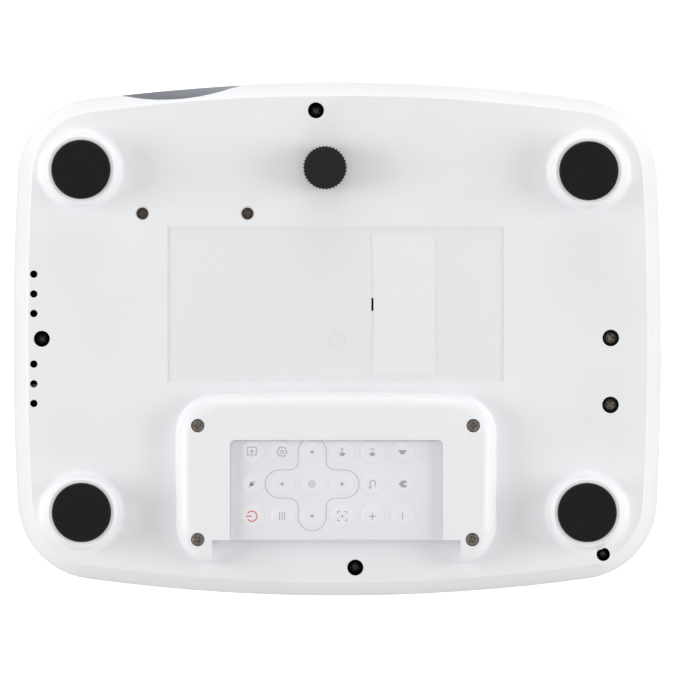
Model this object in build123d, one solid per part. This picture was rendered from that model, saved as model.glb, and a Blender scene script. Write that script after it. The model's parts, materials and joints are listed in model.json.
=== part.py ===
"""Small projector with a disc drive: every piece as its own solid, in millimetres.

The origin is at the centre of the footprint, on the surface that the rubber feet stand on.
+Z is up, the lens looks along -Y, and the disc tray comes out along +X.
"""
from build123d import *
import os
from math import atan2, cos, hypot, pi, radians, sin, sqrt, tan

# ---------------------------------------------------------------- driving dimensions
# Housing
half_width = 113.0
half_depth = 89.6
front_arc = 642.0
side_arc = 1065.0
corner_radius = 28.0
base_z = 11.0
parting_z = 30.0
roof_z = 97.0
wall = 2.4
floor_t = 2.2
roof_t = 2.4
bevel_in = 4.8
bevel_up = 9.0
bevel_blend = 18.0
crease_round = 2.0
roof_round = 13.0
lip_height = 2.0
lip_gap = 0.1
fit_gap = 0.15
press_gap = 0.02

# Rubber feet on their bosses
foot_places = [(-89.2, -58.8), (87.4, -58.3), (-89.0, 60.5), (86.8, 60.5)]
foot_radius = 10.1
foot_height = 3.0
foot_gap = 0.25
boss_rim_z = 1.2
boss_rim_wall = 1.65
boss_rim_radius = foot_radius + foot_gap + boss_rim_wall
boss_draft = 1.0
boss_base_radius = boss_rim_radius + boss_draft
boss_root = (0.8, 2.6)
boss_root_rise = (2.4, 0.9)
boss_ease = 0.6
foot_ease = 0.5
sink = 0.5

# Housing screws, each in a deep well: x, y, radius of the well
well_places = [(-7.5, -79.4, 2.8), (-102.9, 0.1, 2.8), (6.2, 79.7, 2.8), (92.5, 75.1, 2.35)]
well_wall = 1.8
well_seat_z = 31.0
well_web = 2.4
screw_core = 1.2
screw_head_t = 2.2
screw_bite = 12.0
post_radius = 4.0

# Two shallow wells under the drive bracket
bracket_places = [(95.1, -0.2), (95.0, 23.1)]
bracket_well = 2.9
bracket_seat_z = 17.0
bracket_base_z = 20.0

# Threaded inserts for a stand, and the row of small holes beside them
insert_places = [(-67.9, -43.5), (-31.3, -43.5)]
insert_bore = 1.5
insert_wall = 0.6
insert_outer = insert_bore + insert_wall
insert_length = 5.0
insert_ring = insert_outer + 0.6
insert_ring_depth = 0.5
vent_radius = 1.3
vent_x = -105.7
vent_rows = [-22.4, -15.5, -8.7, 8.9, 15.8, 22.6]

# Label recess, its sticker and the slit that the sticker half covers
label_x = (-59.2, 57.9)
label_y = (-39.0, 15.1)
label_depth = 0.4
sticker_x = (12.0, 34.1)
sticker_y = (-36.5, 12.5)
sticker_t = 0.2
sticker_bow = 0.5
slit_x = (11.8, 13.5)
slit_y = (-14.1, -9.6)

# Adjustable foot
adjuster_x = -4.35
adjuster_y = -59.4
stud_radius = 3.0
thread_gap = 0.05
end_gap = 0.2
stud_low_z = 3.0
stud_top_z = 28.0
knob_radius = 7.75
knob_rib = 0.5
knob_root = knob_radius - knob_rib
knob_teeth = 38
knob_low_z = 1.0
knob_high_z = 9.0
bush_wall = 2.0
bush_radius = stud_radius + bush_wall
bush_top_z = 25.0

# Remote control and its dock under the housing
remote_x = (-43.3, 42.6)
remote_y = (31.0, 70.1)
remote_low_z = 4.3
remote_t = 6.5
remote_corner = 3.0
film_t = 0.3
key_radius = 3.8
key_height = 0.35
key_pitch = 10.47
key_first_x = -29.75
key_rows = [39.4, 50.6, 61.8]
key_columns = 6
cell_radius = 10.0
cell_t = 2.5
dock_x = (remote_x[0] - 13.0, remote_x[1] + 12.7)
dock_y = (remote_y[0] - 12.7, remote_y[1] + 8.4)
dock_corner = 14.0
dock_face_z = 2.0
dock_wall = 2.0
dock_round = 7.5
dock_arch = 1.6
dock_lip_x = (remote_x[0] + 5.9, remote_x[1] - 6.0)
dock_lip_y = remote_y[0] + 4.3
dock_gap = 0.3
dock_screw_places = [(-48.6, 30.3), (47.2, 30.3), (-48.6, 69.9), (46.9, 69.9)]
dock_screw_head = 2.2
dock_screw_core = 0.9
dock_boss_radius = 3.4
dock_boss_top_z = 16.8

# Lens and light box
lens_x = -55.5
lens_z = 44.0
running_gap = 0.1
tube_outer = 21.8
tube_wall = 1.6
tube_flange_y = -30.0
tube_flange_radius = tube_outer + 4.7
flange_t = 3.0
focus_wall = 3.3
focus_outer = tube_outer + running_gap + focus_wall
focus_length = 6.5
focus_lip = 1.8
focus_bevel = 1.2
focus_rib = 0.8
focus_ribs = 36
recess_depth = 15.6
recess_floor_y = recess_depth - half_depth
recess_floor_radius = focus_outer + 1.8
recess_mouth_radius = recess_floor_radius + 4.3
recess_mouth_y = recess_floor_y - 9.4
recess_flare = 3.6
recess_flare_depth = 6.0
flare_bands = 4
bezel_t = 1.5
bezel_front_y = recess_floor_y - 6.0
bezel_bore_gap = 0.8
focus_rear_y = recess_floor_y - 0.5
focus_front_y = focus_rear_y - focus_length
focus_lip_y = focus_front_y + focus_lip
tube_front_y = focus_lip_y + 1.2
cell_tube_wall = 1.7
cell_front_y = tube_front_y + 3.5
cell_rear_y = -42.0
glass_gap = 0.1
glass_radius = tube_outer - tube_wall - running_gap - cell_tube_wall - glass_gap
case_half_x = 37.0
case_half_z = 26.5
case_wall = 2.0
case_taper_y = 2.0
case_rear_y = 37.6
case_nose_half = tube_outer + 4.2
panel_y = 7.0
panel_t = 2.6
fresnel_y = 14.5
fresnel_t = 2.0
condenser_rim_y = 27.0
condenser_flat_y = 30.0
condenser_radius = 20.0
condenser_bulge = 6.0
led_board_half = 22.0
led_board_t = 1.6
led_half = 9.0
led_t = 1.2
sink_base_t = 5.0
sink_fin_depth = 23.0
sink_fins = 11
sink_fin_t = 1.0
sink_half = 28.0
sink_ear = 4.0

# Cooling fan on the left wall
fan_size = 50.0
fan_y = 35.0
fan_z = 57.0
fan_depth = 15.0
fan_wall_gap = 2.3
fan_x = (wall + fan_wall_gap - half_width, wall + fan_wall_gap - half_width + fan_depth)
fan_bore = 23.8
fan_tip_gap = 0.8
fan_tip = fan_bore - fan_tip_gap
fan_hub = 11.0
fan_blades = 7
fan_shaft = 1.5
fan_web = 2.5
grille_half = 23.0
grille_slats = 9
grille_slot = 2.6

# Disc drive
drive_length = 122.5
drive_end_x = half_width - 5.5
drive_x = (drive_end_x - drive_length, drive_end_x)
drive_half = 64.0
drive_low_z = 57.0
drive_t = 12.7
sheet_t = 0.6
rail_t = 1.2
rail_z = (59.0, 64.0)
rail_x = (drive_x[0] + 3.0, drive_x[1] - 4.5)
tray_gap = 0.3
tray_x = (drive_x[0] + 3.0, drive_x[1] + 0.7)
tray_low_z = 58.2
tray_rim_z = 67.4
tray_floor_z = 64.6
disc_well = 60.4
tray_rim = 1.3
disc_x = tray_x[1] - disc_well - tray_rim
small_disc_well = 40.5
small_disc_depth = 0.6
bezel_half = 64.2
bezel_z = (57.4, 69.6)
bezel_gap = 0.4
hub_radius = 10.5
hub_boss_radius = 7.3
disc_seat_z = 65.3
hub_top_z = 67.2
motor_radius = 12.0
motor_top_z = 61.4
spindle_radius = 1.0
sled_angle = 225.0
sled_rest = 24.0
sled_travel = 33.0
rod_radius = 1.0
rod_across = 13.0
rod_z = 61.0
rod_span = (14.0, 70.0)
sled_half_across = 14.4
sled_half_along = 9.0
sled_z = (59.2, 63.8)
screw_across = 17.6
screw_span = (15.0, 54.5)
nut_offset = -7.0
step_motor_radius = 2.8
step_motor_length = 8.0
eject_y = -42.0
eject_size = (8.0, 3.0)
eject_travel = 0.6

# Boards, sockets, loudspeakers
board_t = 1.6
main_x = (14.0, 84.0)
port_floor_y = half_depth - 6.5
main_y = (12.0, port_floor_y - 4.5)
main_z = 34.0
power_x = (12.0, 84.0)
power_y = (-58.0, 0.0)
power_z = 20.0
port_panel_x = (16.0, 82.0)
port_panel_z = (33.0, 50.0)
inlet_x = -60.0
inlet_z = 42.0
inlet_pocket = (16.0, 8.0)
inlet_body = (11.0, 6.0)
inlet_flange = (14.5, 7.0)
inlet_gap = 0.2
speaker_places = [(38.0, 60.0), (78.0, 60.0)]
speaker_size = 36.0
speaker_cone = 15.0
speaker_y = (12.0 - half_depth, 25.0 - half_depth)
speaker_slots = 7

# Keys on the roof: name, x, y, half length, half width
key_board_z = roof_z - 11.0
key_board_x = (16.0, 104.0)
key_board_y = (20.0, 60.0)
switch_size = 6.0
switch_top_z = roof_z - 5.6
button_stem_z = switch_top_z + 0.6
button_proud = 1.0
button_gap = 0.3
button_flange = 1.2
round_buttons = {
    "power_button": (28.0, 40.0, 6.0),
    "ok_button": (60.0, 40.0, 7.0),
    "source_button": (92.0, 40.0, 6.0),
}
arrow_ring = (9.0, 18.0)
arrow_half_angle = 38.0
arrow_buttons = {"right_button": 0.0, "up_button": 90.0, "left_button": 180.0, "down_button": 270.0}
arrow_centre = (60.0, 40.0)
ir_window_x = (-9.0, 7.0)
ir_window_z = (42.0, 52.0)
ir_window_proud = 0.3


# ---------------------------------------------------------------- shared helpers
def block(x, y, z):
    """A box between two values on each axis."""
    size = (x[1] - x[0], y[1] - y[0], z[1] - z[0])
    middle = ((x[0] + x[1]) / 2, (y[0] + y[1]) / 2, (z[0] + z[1]) / 2)
    return Pos(*middle) * Box(*size)


def rod(x, y, z, radius):
    """An upright cylinder between two heights."""
    return Pos(x, y, (z[0] + z[1]) / 2) * Cylinder(radius, z[1] - z[0])


def prism_post(x, y, z, radius, sides):
    """An upright prism with a regular outline between two heights."""
    return extrude(Pos(x, y, z[0]) * RegularPolygon(radius, sides), z[1] - z[0], dir=(0, 0, 1))


def rod_along_y(x, z, y, radius):
    """A cylinder along Y between two values of y."""
    return Pos(x, (y[0] + y[1]) / 2, z) * Rot(90, 0, 0) * Cylinder(radius, y[1] - y[0])


def rod_along_x(y, z, x, radius):
    """A cylinder along X between two values of x."""
    return Pos((x[0] + x[1]) / 2, y, z) * Rot(0, 90, 0) * Cylinder(radius, x[1] - x[0])


def centred(x, z, half, y, gap):
    """A box between two values of y, centred on (x, z), from half sizes and a gap all round."""
    half_x, half_z = half[0] + gap, half[1] + gap
    return block((x - half_x, x + half_x), y, (z - half_z, z + half_z))


def rounded_block(x, y, z, corner):
    """A box with its upright corners rounded."""
    plan = RectangleRounded(x[1] - x[0], y[1] - y[0], corner)
    return extrude(Pos((x[0] + x[1]) / 2, (y[0] + y[1]) / 2, z[0]) * plan, z[1] - z[0])


def turned_along_y(points, x, z):
    """A turned piece about a Y axis through (x, z), from a closed outline of (radius, y)."""
    outline = Polyline(*[(r, y) for r, y in points], close=True)
    return Pos(x, 0, z) * revolve(make_face(outline), Axis.Y)


def fuse(pieces):
    """One solid out of several that touch."""
    whole = pieces[0]
    for piece in pieces[1:]:
        whole = whole + piece
    return whole


def level_edges(form, low, high=None):
    """The edges of a form that lie level at one height, or at any height between two."""
    top = low if high is None else high
    found = []
    for edge in form.edges():
        start, end = edge.start_point().Z, edge.end_point().Z
        if abs(start - end) < 0.01 and low - 0.01 < start < top + 0.01:
            found.append(edge)
    return found


def soften(form, z, turn, radius, rounds):
    """Round the level edges at a height with bands that touch the true arc: 1, 3 or 7 of them."""
    reach = 0.0
    for n in range(rounds):
        setback = radius * (tan(turn / 2 ** (n + 1)) - tan(turn / 2 ** (n + 2)))
        form = chamfer(level_edges(form, z - reach, z + reach), setback)
        reach = reach + setback
    return form


def turned(points, x, y):
    """A turned piece about an upright axis through (x, y), from a closed outline of (radius, z)."""
    outline = Rot(90, 0, 0) * make_face(Polyline(*points, close=True))
    return Pos(x, y, 0) * revolve(outline, Axis.Z)


def toothed(radius, root, teeth, length):
    """A ribbed disc: flat-topped teeth all round, standing on the XY plane."""
    points = []
    step = 2 * pi / teeth
    for n in range(teeth):
        for share, reach in ((0.0, root), (0.22, root), (0.42, radius), (0.80, radius)):
            turn = (n + share) * step
            points.append((reach * cos(turn), reach * sin(turn)))
    return extrude(make_face(Polyline(*points, close=True)), length, dir=(0, 0, 1))


# ---------------------------------------------------------------- housing forms
def corner_of(inset):
    """Centre of the corner arc and the points where it meets the two long arcs."""
    centre_y = Vector(0, half_depth - front_arc)
    centre_x = Vector(half_width - side_arc, 0)
    reach_y = front_arc - corner_radius
    reach_x = side_arc - corner_radius
    across = centre_x - centre_y
    along = (across.length ** 2 + reach_y ** 2 - reach_x ** 2) / (2 * across.length)
    rise = sqrt(reach_y ** 2 - along ** 2)
    unit = across.normalized()
    centre = centre_y + unit * along + Vector(unit.Y, -unit.X) * rise
    on_long = centre_y + (centre - centre_y).normalized() * (front_arc - inset)
    on_side = centre_x + (centre - centre_x).normalized() * (side_arc - inset)
    outward = ((on_long - centre).normalized() + (on_side - centre).normalized()).normalized()
    return on_long, centre + outward * (corner_radius - inset), on_side


def plan_face(inset, z):
    """The housing's outline in plan: eight tangent arcs, drawn in by an inset."""
    long_end, corner, side_end = corner_of(inset)
    arcs = []
    for sx, sy in [(1, 1), (1, -1), (-1, -1), (-1, 1)]:
        a, b, c = long_end, corner, side_end
        points = [(sx * v.X, sy * v.Y) for v in (a, b, c)]
        arcs.append(ThreePointArc(*points))
    for sy in (1, -1):
        end = (long_end.X, sy * long_end.Y)
        arcs.append(ThreePointArc((-end[0], end[1]), (0, sy * (half_depth - inset)), end))
    for sx in (1, -1):
        end = (sx * side_end.X, side_end.Y)
        arcs.append(ThreePointArc((end[0], -end[1]), (sx * (half_width - inset), 0), end))
    return Pos(0, 0, z) * make_face(Curve() + arcs)


def prism(inset, low, high):
    """The plan outline raised between two heights."""
    return extrude(plan_face(inset, low), high - low, dir=(0, 0, 1))


def housing_form(inset, low, high, bevel_share, top_round, rounds):
    """The outer or inner form of the whole housing: bevelled below, rounded above."""
    form = prism(inset, low, high)
    base = form.faces().sort_by(Axis.Z)[0]
    form = chamfer(base.edges(), bevel_in * bevel_share, bevel_up * bevel_share, reference=base)
    lean = atan2(bevel_in, bevel_up)
    form = soften(form, low + bevel_up * bevel_share, lean, bevel_blend, rounds)
    form = soften(form, low, pi / 2 - lean, crease_round, rounds - 1)
    return soften(form, high, pi / 2, top_round, rounds)


bevel_slope = hypot(bevel_in, bevel_up)
bevel_thin = (wall * bevel_up + floor_t * bevel_in - wall * bevel_slope) / (bevel_in * bevel_up)
inner_low_z = base_z + floor_t
inner_roof_z = roof_z - roof_t
outer_form = housing_form(0.0, base_z, roof_z, 1.0, roof_round, 2)
inner_form = housing_form(wall, inner_low_z, inner_roof_z, 1.0 - bevel_thin, roof_round - wall, 1)
below_parting = block((-200, 200), (-200, 200), (-50, parting_z))
above_parting = block((-200, 200), (-200, 200), (parting_z, 200))


def recess_tool(offset):
    """The flared lens recess as a solid, or its outer skin at an offset."""
    floor_y = recess_floor_y + offset
    mouth = recess_mouth_radius + offset
    edge = mouth + recess_flare
    edge_y = recess_mouth_y - recess_flare_depth
    front = edge_y - 4.0
    flare = Bezier(
        (mouth, recess_mouth_y),
        (mouth + 0.15 * recess_flare, recess_mouth_y - 0.45 * recess_flare_depth),
        (mouth + 0.35 * recess_flare, edge_y + 0.1 * recess_flare_depth),
        (edge, edge_y),
    )
    bands = [flare @ (n / flare_bands) for n in range(flare_bands + 1)]
    outline = [(0, floor_y), (recess_floor_radius + offset, floor_y)]
    outline = outline + [(point.X, point.Y) for point in bands]
    outline = outline + [(edge, front), (0, front)]
    return turned_along_y(outline, lens_x, lens_z)


recess_seat = bezel_t + fit_gap
behind_bezel = block((-200, 200), (bezel_front_y, 200), (-50, 200))
recess_cut = recess_tool(0.0) + (recess_tool(recess_seat) & behind_bezel)
recess_skin = (recess_tool(recess_seat + wall) & outer_form) - recess_cut
recess_skin = recess_skin - rod_along_y(lens_x, lens_z, (-95, -40), tube_outer + bezel_bore_gap)
recess_keep_out = recess_tool(recess_seat + wall + lip_gap)


def lip_ring(near, far, low, high):
    """A ring inside the wall, between two insets, that stops short of the lens recess."""
    return prism(near, low, high) - prism(far, low - 1, high + 1) - recess_keep_out


# ---------------------------------------------------------------- bottom shell
def foot_boss(x, y):
    """A round, slightly tapered boss under the floor, eased at its root and at its rim."""
    slope = (boss_base_radius - boss_rim_radius) / (base_z - boss_rim_z)
    mid, far = boss_root
    outline = [
        (0, base_z + sink),
        (boss_base_radius + far, base_z + sink),
        (boss_base_radius + far, base_z),
        (boss_base_radius + mid, base_z - boss_root_rise[1]),
        (boss_base_radius - slope * boss_root_rise[0], base_z - boss_root_rise[0]),
        (boss_rim_radius + slope * boss_ease, boss_rim_z + boss_ease),
        (boss_rim_radius - boss_ease, boss_rim_z),
        (0, boss_rim_z),
    ]
    return turned(outline, x, y)


def build_bottom_shell():
    """The lower half of the housing, with everything that stands on its floor."""
    shell = (outer_form - inner_form) & below_parting
    lip = lip_ring(wall / 2 + lip_gap, wall, parting_z - 1.0, parting_z + lip_height)
    shell = shell + lip + (recess_skin & below_parting) - recess_cut
    adds = [foot_boss(x, y) for x, y in foot_places]
    for x, y, radius in well_places:
        adds.append(rod(x, y, (base_z + sink, well_seat_z + well_web), radius + well_wall))
    for x, y in bracket_places:
        adds.append(rod(x, y, (base_z + sink, bracket_base_z), bracket_well + well_wall))
    for x, y in insert_places:
        adds.append(rod(x, y, (base_z + sink, base_z + insert_length + 3.0), insert_outer + 2.1))
    for x, y in dock_screw_places:
        adds.append(rod(x, y, (base_z + sink, dock_boss_top_z), dock_boss_radius))
    adds.append(rod(adjuster_x, adjuster_y, (base_z + sink, bush_top_z), bush_radius + 2.2))
    for x, y in drive_posts:
        adds.append(prism_post(x, y, (base_z + sink, drive_low_z), 3.8, 6))
    for x, y in board_corners(main_x, main_y):
        adds.append(prism_post(x, y, (base_z + sink, main_z), 3.0, 6))
    for x, y in board_corners(power_x, power_y):
        adds.append(prism_post(x, y, (base_z + sink, power_z), 3.0, 6))
    for x in (lens_x - case_half_x + 6, lens_x + case_half_x - 6):
        for y in (case_taper_y + 6, case_rear_y - 6):
            adds.append(prism_post(x, y, (base_z + sink, lens_z - case_half_z), 3.3, 6))
    for y in (fan_y - 18.0, fan_y + 18.0):
        height = (base_z + sink, fan_z - fan_size / 2)
        cradle = block((fan_x[0] + 1.0, fan_x[1]), (y - 1.0, y + 1.0), height)
        adds.append(cradle & outer_form)
    shell = fuse([shell] + adds)
    cuts = []
    for x, y in foot_places:
        cuts.append(rod(x, y, (boss_rim_z - 1.0, foot_height), foot_radius + foot_gap))
    for x, y, radius in well_places:
        cuts.append(rod(x, y, (base_z - 1.0, well_seat_z), radius))
        cuts.append(rod(x, y, (well_seat_z - 1.0, well_seat_z + well_web + 1.0), screw_core + 0.4))
    for x, y in bracket_places:
        cuts.append(rod(x, y, (base_z - 1.0, bracket_seat_z), bracket_well))
        cuts.append(rod(x, y, (bracket_seat_z - 1.0, bracket_base_z + 1.0), screw_core + 0.3))
    for x, y in insert_places:
        ring_z = base_z + insert_ring_depth
        cuts.append(rod(x, y, (base_z - 1.0, ring_z), insert_ring))
        cuts.append(rod(x, y, (base_z - 1.0, ring_z + insert_length), insert_outer + press_gap))
    for x, y in dock_screw_places:
        cuts.append(rod(x, y, (base_z - 1.0, dock_boss_top_z - 1.0), dock_screw_core + 0.05))
    cuts.append(rod(adjuster_x, adjuster_y, (base_z - 1.0, bush_top_z + 1.0), bush_radius + press_gap))
    for y in vent_rows:
        cuts.append(rod(vent_x, y, (base_z - 1.0, base_z + 8.0), vent_radius))
    cuts.append(block(label_x, label_y, (base_z - 1.0, base_z + label_depth)))
    cuts.append(block(slit_x, slit_y, (base_z - 1.0, inner_low_z + 1.0)))
    for cut in cuts:
        shell = shell - cut
    return shell


def board_corners(x, y):
    """Where a board's four standoffs are."""
    inset = 5.0
    return [(a, b) for a in (x[0] + inset, x[1] - inset) for b in (y[0] + inset, y[1] - inset)]


drive_posts = [(drive_x[0] + 19.0, -49.0), (drive_x[0] + 19.0, 49.0)]


# ---------------------------------------------------------------- top shell
def rounded_slot(x, z, width, height, y):
    """An upright-ended slot through a front or rear wall."""
    corner = min(width, height) / 2 - 0.01
    plan = RectangleRounded(width, height, corner)
    return Pos(x, y[0], z) * Rot(90, 0, 0) * extrude(plan, y[0] - y[1])


def button_shape(name, low, high, grow):
    """A key of the roof between two heights, grown all round by an amount."""
    if name in round_buttons:
        x, y, radius = round_buttons[name]
        return rod(x, y, (low, high), radius + grow)
    turn = arrow_buttons[name]
    inner, outer = arrow_ring
    spread = radians(arrow_half_angle)
    inner_r, outer_r = inner - grow, outer + grow
    half_in = spread + grow / inner_r
    half_out = spread + grow / outer_r
    out_x, out_y = outer_r * cos(half_out), outer_r * sin(half_out)
    in_x, in_y = inner_r * cos(half_in), inner_r * sin(half_in)
    edge = [
        ThreePointArc((out_x, -out_y), (outer_r, 0), (out_x, out_y)),
        Line((out_x, out_y), (in_x, in_y)),
        ThreePointArc((in_x, in_y), (inner_r, 0), (in_x, -in_y)),
        Line((in_x, -in_y), (out_x, -out_y)),
    ]
    key = extrude(make_face(Curve() + edge), high - low, dir=(0, 0, 1))
    return Pos(arrow_centre[0], arrow_centre[1], low) * Rot(0, 0, turn) * key


def build_top_shell():
    """The upper half of the housing, with its posts, openings and key holes."""
    shell = (outer_form - inner_form) & above_parting
    shell = shell + (recess_skin & above_parting) - recess_cut
    adds = []
    for x, y, radius in well_places:
        adds.append(rod(x, y, (well_seat_z + well_web, inner_roof_z + 1.0), post_radius))
    for x, y in board_corners(key_board_x, key_board_y):
        adds.append(prism_post(x, y, (key_board_z + board_t, inner_roof_z + 1.0), 2.6, 6))
    pocket_wall = (port_floor_y - wall, port_floor_y + 4.0)
    adds.append(block(port_panel_x, pocket_wall, port_panel_z) & outer_form)
    inlet_span = (inlet_x - inlet_pocket[0] - 2.0, inlet_x + inlet_pocket[0] + 2.0)
    inlet_rise = (inlet_z - inlet_pocket[1] - 1.0, inlet_z + inlet_pocket[1] + 1.0)
    adds.append(block(inlet_span, pocket_wall, inlet_rise) & outer_form)
    for x, z in speaker_places:
        collar = rod_along_y(x, z, (-95.0, speaker_y[0]), speaker_size / 2 - 1.0)
        collar = collar - rod_along_y(x, z, (-96.0, speaker_y[0] + 1.0), speaker_cone)
        adds.append(collar & outer_form)
    shell = fuse([shell] + adds)
    cuts = []
    cuts.append(lip_ring(wall / 2, wall, parting_z - 1.0, parting_z + lip_height + lip_gap))
    for x, y, radius in well_places:
        cuts.append(rod(x, y, (well_seat_z, well_seat_z + well_web + screw_bite + 2.0), screw_core + 0.05))
    inset = 2.0
    x_span = (port_panel_x[0] + inset, port_panel_x[1] - inset)
    outward = (port_floor_y, port_floor_y + 10.0)
    inward = (port_floor_y - wall - 1.0, port_floor_y + 1.0)
    cuts.append(block(x_span, outward, (port_panel_z[0] + inset, port_panel_z[1] - inset)))
    cuts.append(centred(inlet_x, inlet_z, inlet_pocket, outward, 0.0))
    cuts.append(centred(inlet_x, inlet_z, inlet_body, inward, inlet_gap))
    for x, half_w, height in socket_rows.values():
        low = main_z + board_t
        cuts.append(centred(x, low + height / 2, (half_w, height / 2), inward, fit_gap))
    door_y = (-bezel_half - bezel_gap, bezel_half + bezel_gap)
    door_z = (bezel_z[0] - bezel_gap, bezel_z[1] + bezel_gap)
    cuts.append(block((half_width - 14.0, half_width + 5.0), door_y, door_z))
    grille_y = (fan_y - grille_half, fan_y + grille_half)
    grille_z = (fan_z - grille_half, fan_z + grille_half)
    cuts.append(block((-half_width - 5.0, -half_width + 8.0), grille_y, grille_z))
    for x, z in speaker_places:
        for n in range(speaker_slots):
            dz = (n - (speaker_slots - 1) / 2) * 4.0
            reach = sqrt((speaker_cone - 1.0) ** 2 - dz ** 2)
            cuts.append(rounded_slot(x, z + dz, 2 * reach, 2.0, (-96.0, speaker_y[0] - 2.0)))
    for n in range(7):
        cuts.append(block((-27.0 + 4.4 * n, -24.8 + 4.4 * n), (84.0, 96.0), (54.0, 78.0)))
    for name in list(round_buttons) + list(arrow_buttons):
        cuts.append(button_shape(name, inner_roof_z - 1.0, roof_z + 2.0, button_gap))
    window_x = (ir_window_x[0] - fit_gap, ir_window_x[1] + fit_gap)
    window_z = (ir_window_z[0] - fit_gap, ir_window_z[1] + fit_gap)
    cuts.append(block(window_x, (-half_depth - 4.0, -half_depth + 5.0), window_z))
    for cut in cuts:
        shell = shell - cut
    return shell


socket_rows = {
    "hdmi": (26.0, 7.5, 6.0),
    "usb": (44.0, 7.0, 7.2),
    "sound": (59.0, 4.0, 7.0),
    "video": (71.0, 4.0, 7.0),
}


# ---------------------------------------------------------------- small housing pieces
def build_rubber_feet():
    """Four flat rubber feet, glued in the bosses."""
    feet = []
    for x, y in foot_places:
        foot = rod(x, y, (0.0, foot_height), foot_radius)
        feet.append(chamfer(level_edges(foot, 0.0), foot_ease))
    return feet


def pan_screw(x, y, seat, head_radius, head_t, core, bite):
    """A screw driven upwards: its head under the seat and its core above."""
    outline = [
        (0, seat - head_t),
        (head_radius, seat - head_t),
        (head_radius, seat),
        (core, seat),
        (core, seat + bite),
        (0, seat + bite),
    ]
    return turned(outline, x, y)


def build_housing_screws():
    """The long screws in the deep wells."""
    bite = well_web + screw_bite
    return [pan_screw(x, y, well_seat_z, r - 0.2, screw_head_t, screw_core, bite) for x, y, r in well_places]


def build_bracket_screws():
    """The two screws that hold the drive's bracket."""
    bite = bracket_base_z - bracket_seat_z + 1.2
    head = bracket_well - 0.3
    return [pan_screw(x, y, bracket_seat_z, head, screw_head_t, screw_core, bite) for x, y in bracket_places]


def build_dock_screws():
    """The four small screws of the dock cover."""
    seat = dock_face_z + 2.4
    bite = dock_boss_top_z - 2.0 - seat
    return [pan_screw(x, y, seat, dock_screw_head, 1.6, dock_screw_core, bite) for x, y in dock_screw_places]


def build_mounting_inserts():
    """Two brass inserts with an open thread for a stand."""
    low = base_z + insert_ring_depth
    high = low + insert_length
    inserts = []
    for x, y in insert_places:
        inserts.append(rod(x, y, (low, high), insert_outer) - rod(x, y, (low - 1, high + 1), insert_bore))
    return inserts


def build_sticker():
    """The blank sticker in the label recess, one long edge a little bowed."""
    x0, x1 = sticker_x
    y0, y1 = sticker_y
    edge = [
        ThreePointArc((x0, y0), (x0 + sticker_bow, (y0 + y1) / 2 + 6.0), (x0, y1)),
        Polyline((x0, y1), (x1, y1), (x1, y0), (x0, y0)),
    ]
    top = base_z + label_depth
    return Pos(0, 0, top - sticker_t) * extrude(make_face(Curve() + edge), sticker_t, dir=(0, 0, 1))


def build_lens_bezel():
    """The dish that lines the bottom of the lens recess."""
    liner = recess_tool(bezel_t) - recess_tool(0.0)
    liner = liner & block((-200, 200), (bezel_front_y + fit_gap, 0), (0, 200))
    return liner - rod_along_y(lens_x, lens_z, (-95, -40), tube_outer + bezel_bore_gap)


def build_ir_window():
    """The small window of the remote receiver, a little proud of the front wall."""
    proud = prism(-ir_window_proud, ir_window_z[0], ir_window_z[1])
    plate = block(ir_window_x, (-half_depth - 4.0, -half_depth + wall + 2.0), ir_window_z) & proud
    return plate


def build_exhaust_grille():
    """The slatted grille of the fan, curved like the wall that it fills."""
    y = (fan_y - grille_half + fit_gap, fan_y + grille_half - fit_gap)
    z = (fan_z - grille_half + fit_gap, fan_z + grille_half - fit_gap)
    ring = prism(0.0, z[0], z[1]) - prism(wall, z[0] - 1, z[1] + 1)
    grille = ring & block((-half_width - 5.0, -half_width + 10.0), y, z)
    pitch = (2 * grille_half - 6.0) / grille_slats
    for n in range(grille_slats):
        middle = fan_z + (n - (grille_slats - 1) / 2) * pitch
        for side in (-1, 1):
            near, far = (1.2, grille_half - 3.0)
            span = tuple(sorted((fan_y + side * near, fan_y + side * far)))
            rise = (middle - grille_slot / 2, middle + grille_slot / 2)
            grille = grille - block((-half_width - 5.0, -half_width + 12.0), span, rise)
    return grille


# ---------------------------------------------------------------- adjustable foot
def build_adjuster_insert():
    """The threaded brass bush that the foot turns in."""
    bush = rod(adjuster_x, adjuster_y, (base_z + 0.2, bush_top_z), bush_radius)
    return bush - rod(adjuster_x, adjuster_y, (base_z - 1, bush_top_z + 1), stud_radius + thread_gap)


def build_adjuster_stud():
    """The foot's stud."""
    stud = rod(adjuster_x, adjuster_y, (stud_low_z, stud_top_z), stud_radius)
    return chamfer(level_edges(stud, stud_top_z), 0.6)


def build_adjuster_knob():
    """The knurled knob, turned by hand."""
    wheel = toothed(knob_radius, knob_root, knob_teeth, knob_high_z - knob_low_z)
    knob = Pos(adjuster_x, adjuster_y, knob_low_z) * wheel
    bore = rod(adjuster_x, adjuster_y, (stud_low_z - end_gap, knob_high_z + 1.0), stud_radius + thread_gap)
    return knob - bore


# ---------------------------------------------------------------- remote and dock
def dock_plan(inset):
    """The dock cover's outline: sides a little arched, corners round."""
    x0, x1 = dock_x[0] + inset, dock_x[1] - inset
    y0, y1 = dock_y[0] + inset, dock_y[1] - inset
    face = make_face(
        Curve() + [
            ThreePointArc((x0, y0 + dock_arch), ((x0 + x1) / 2, y0), (x1, y0 + dock_arch)),
            Line((x1, y0 + dock_arch), (x1, y1)),
            Line((x1, y1), (x0, y1)),
            Line((x0, y1), (x0, y0 + dock_arch)),
        ]
    )
    return fillet(face.vertices(), dock_corner - inset)


def dock_form(inset, low, rounds):
    """The cover's pillow form between its face and the floor plane."""
    form = extrude(Pos(0, 0, low) * dock_plan(inset), base_z - low, dir=(0, 0, 1))
    return soften(form, low, pi / 2, dock_round - inset, rounds)


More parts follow.
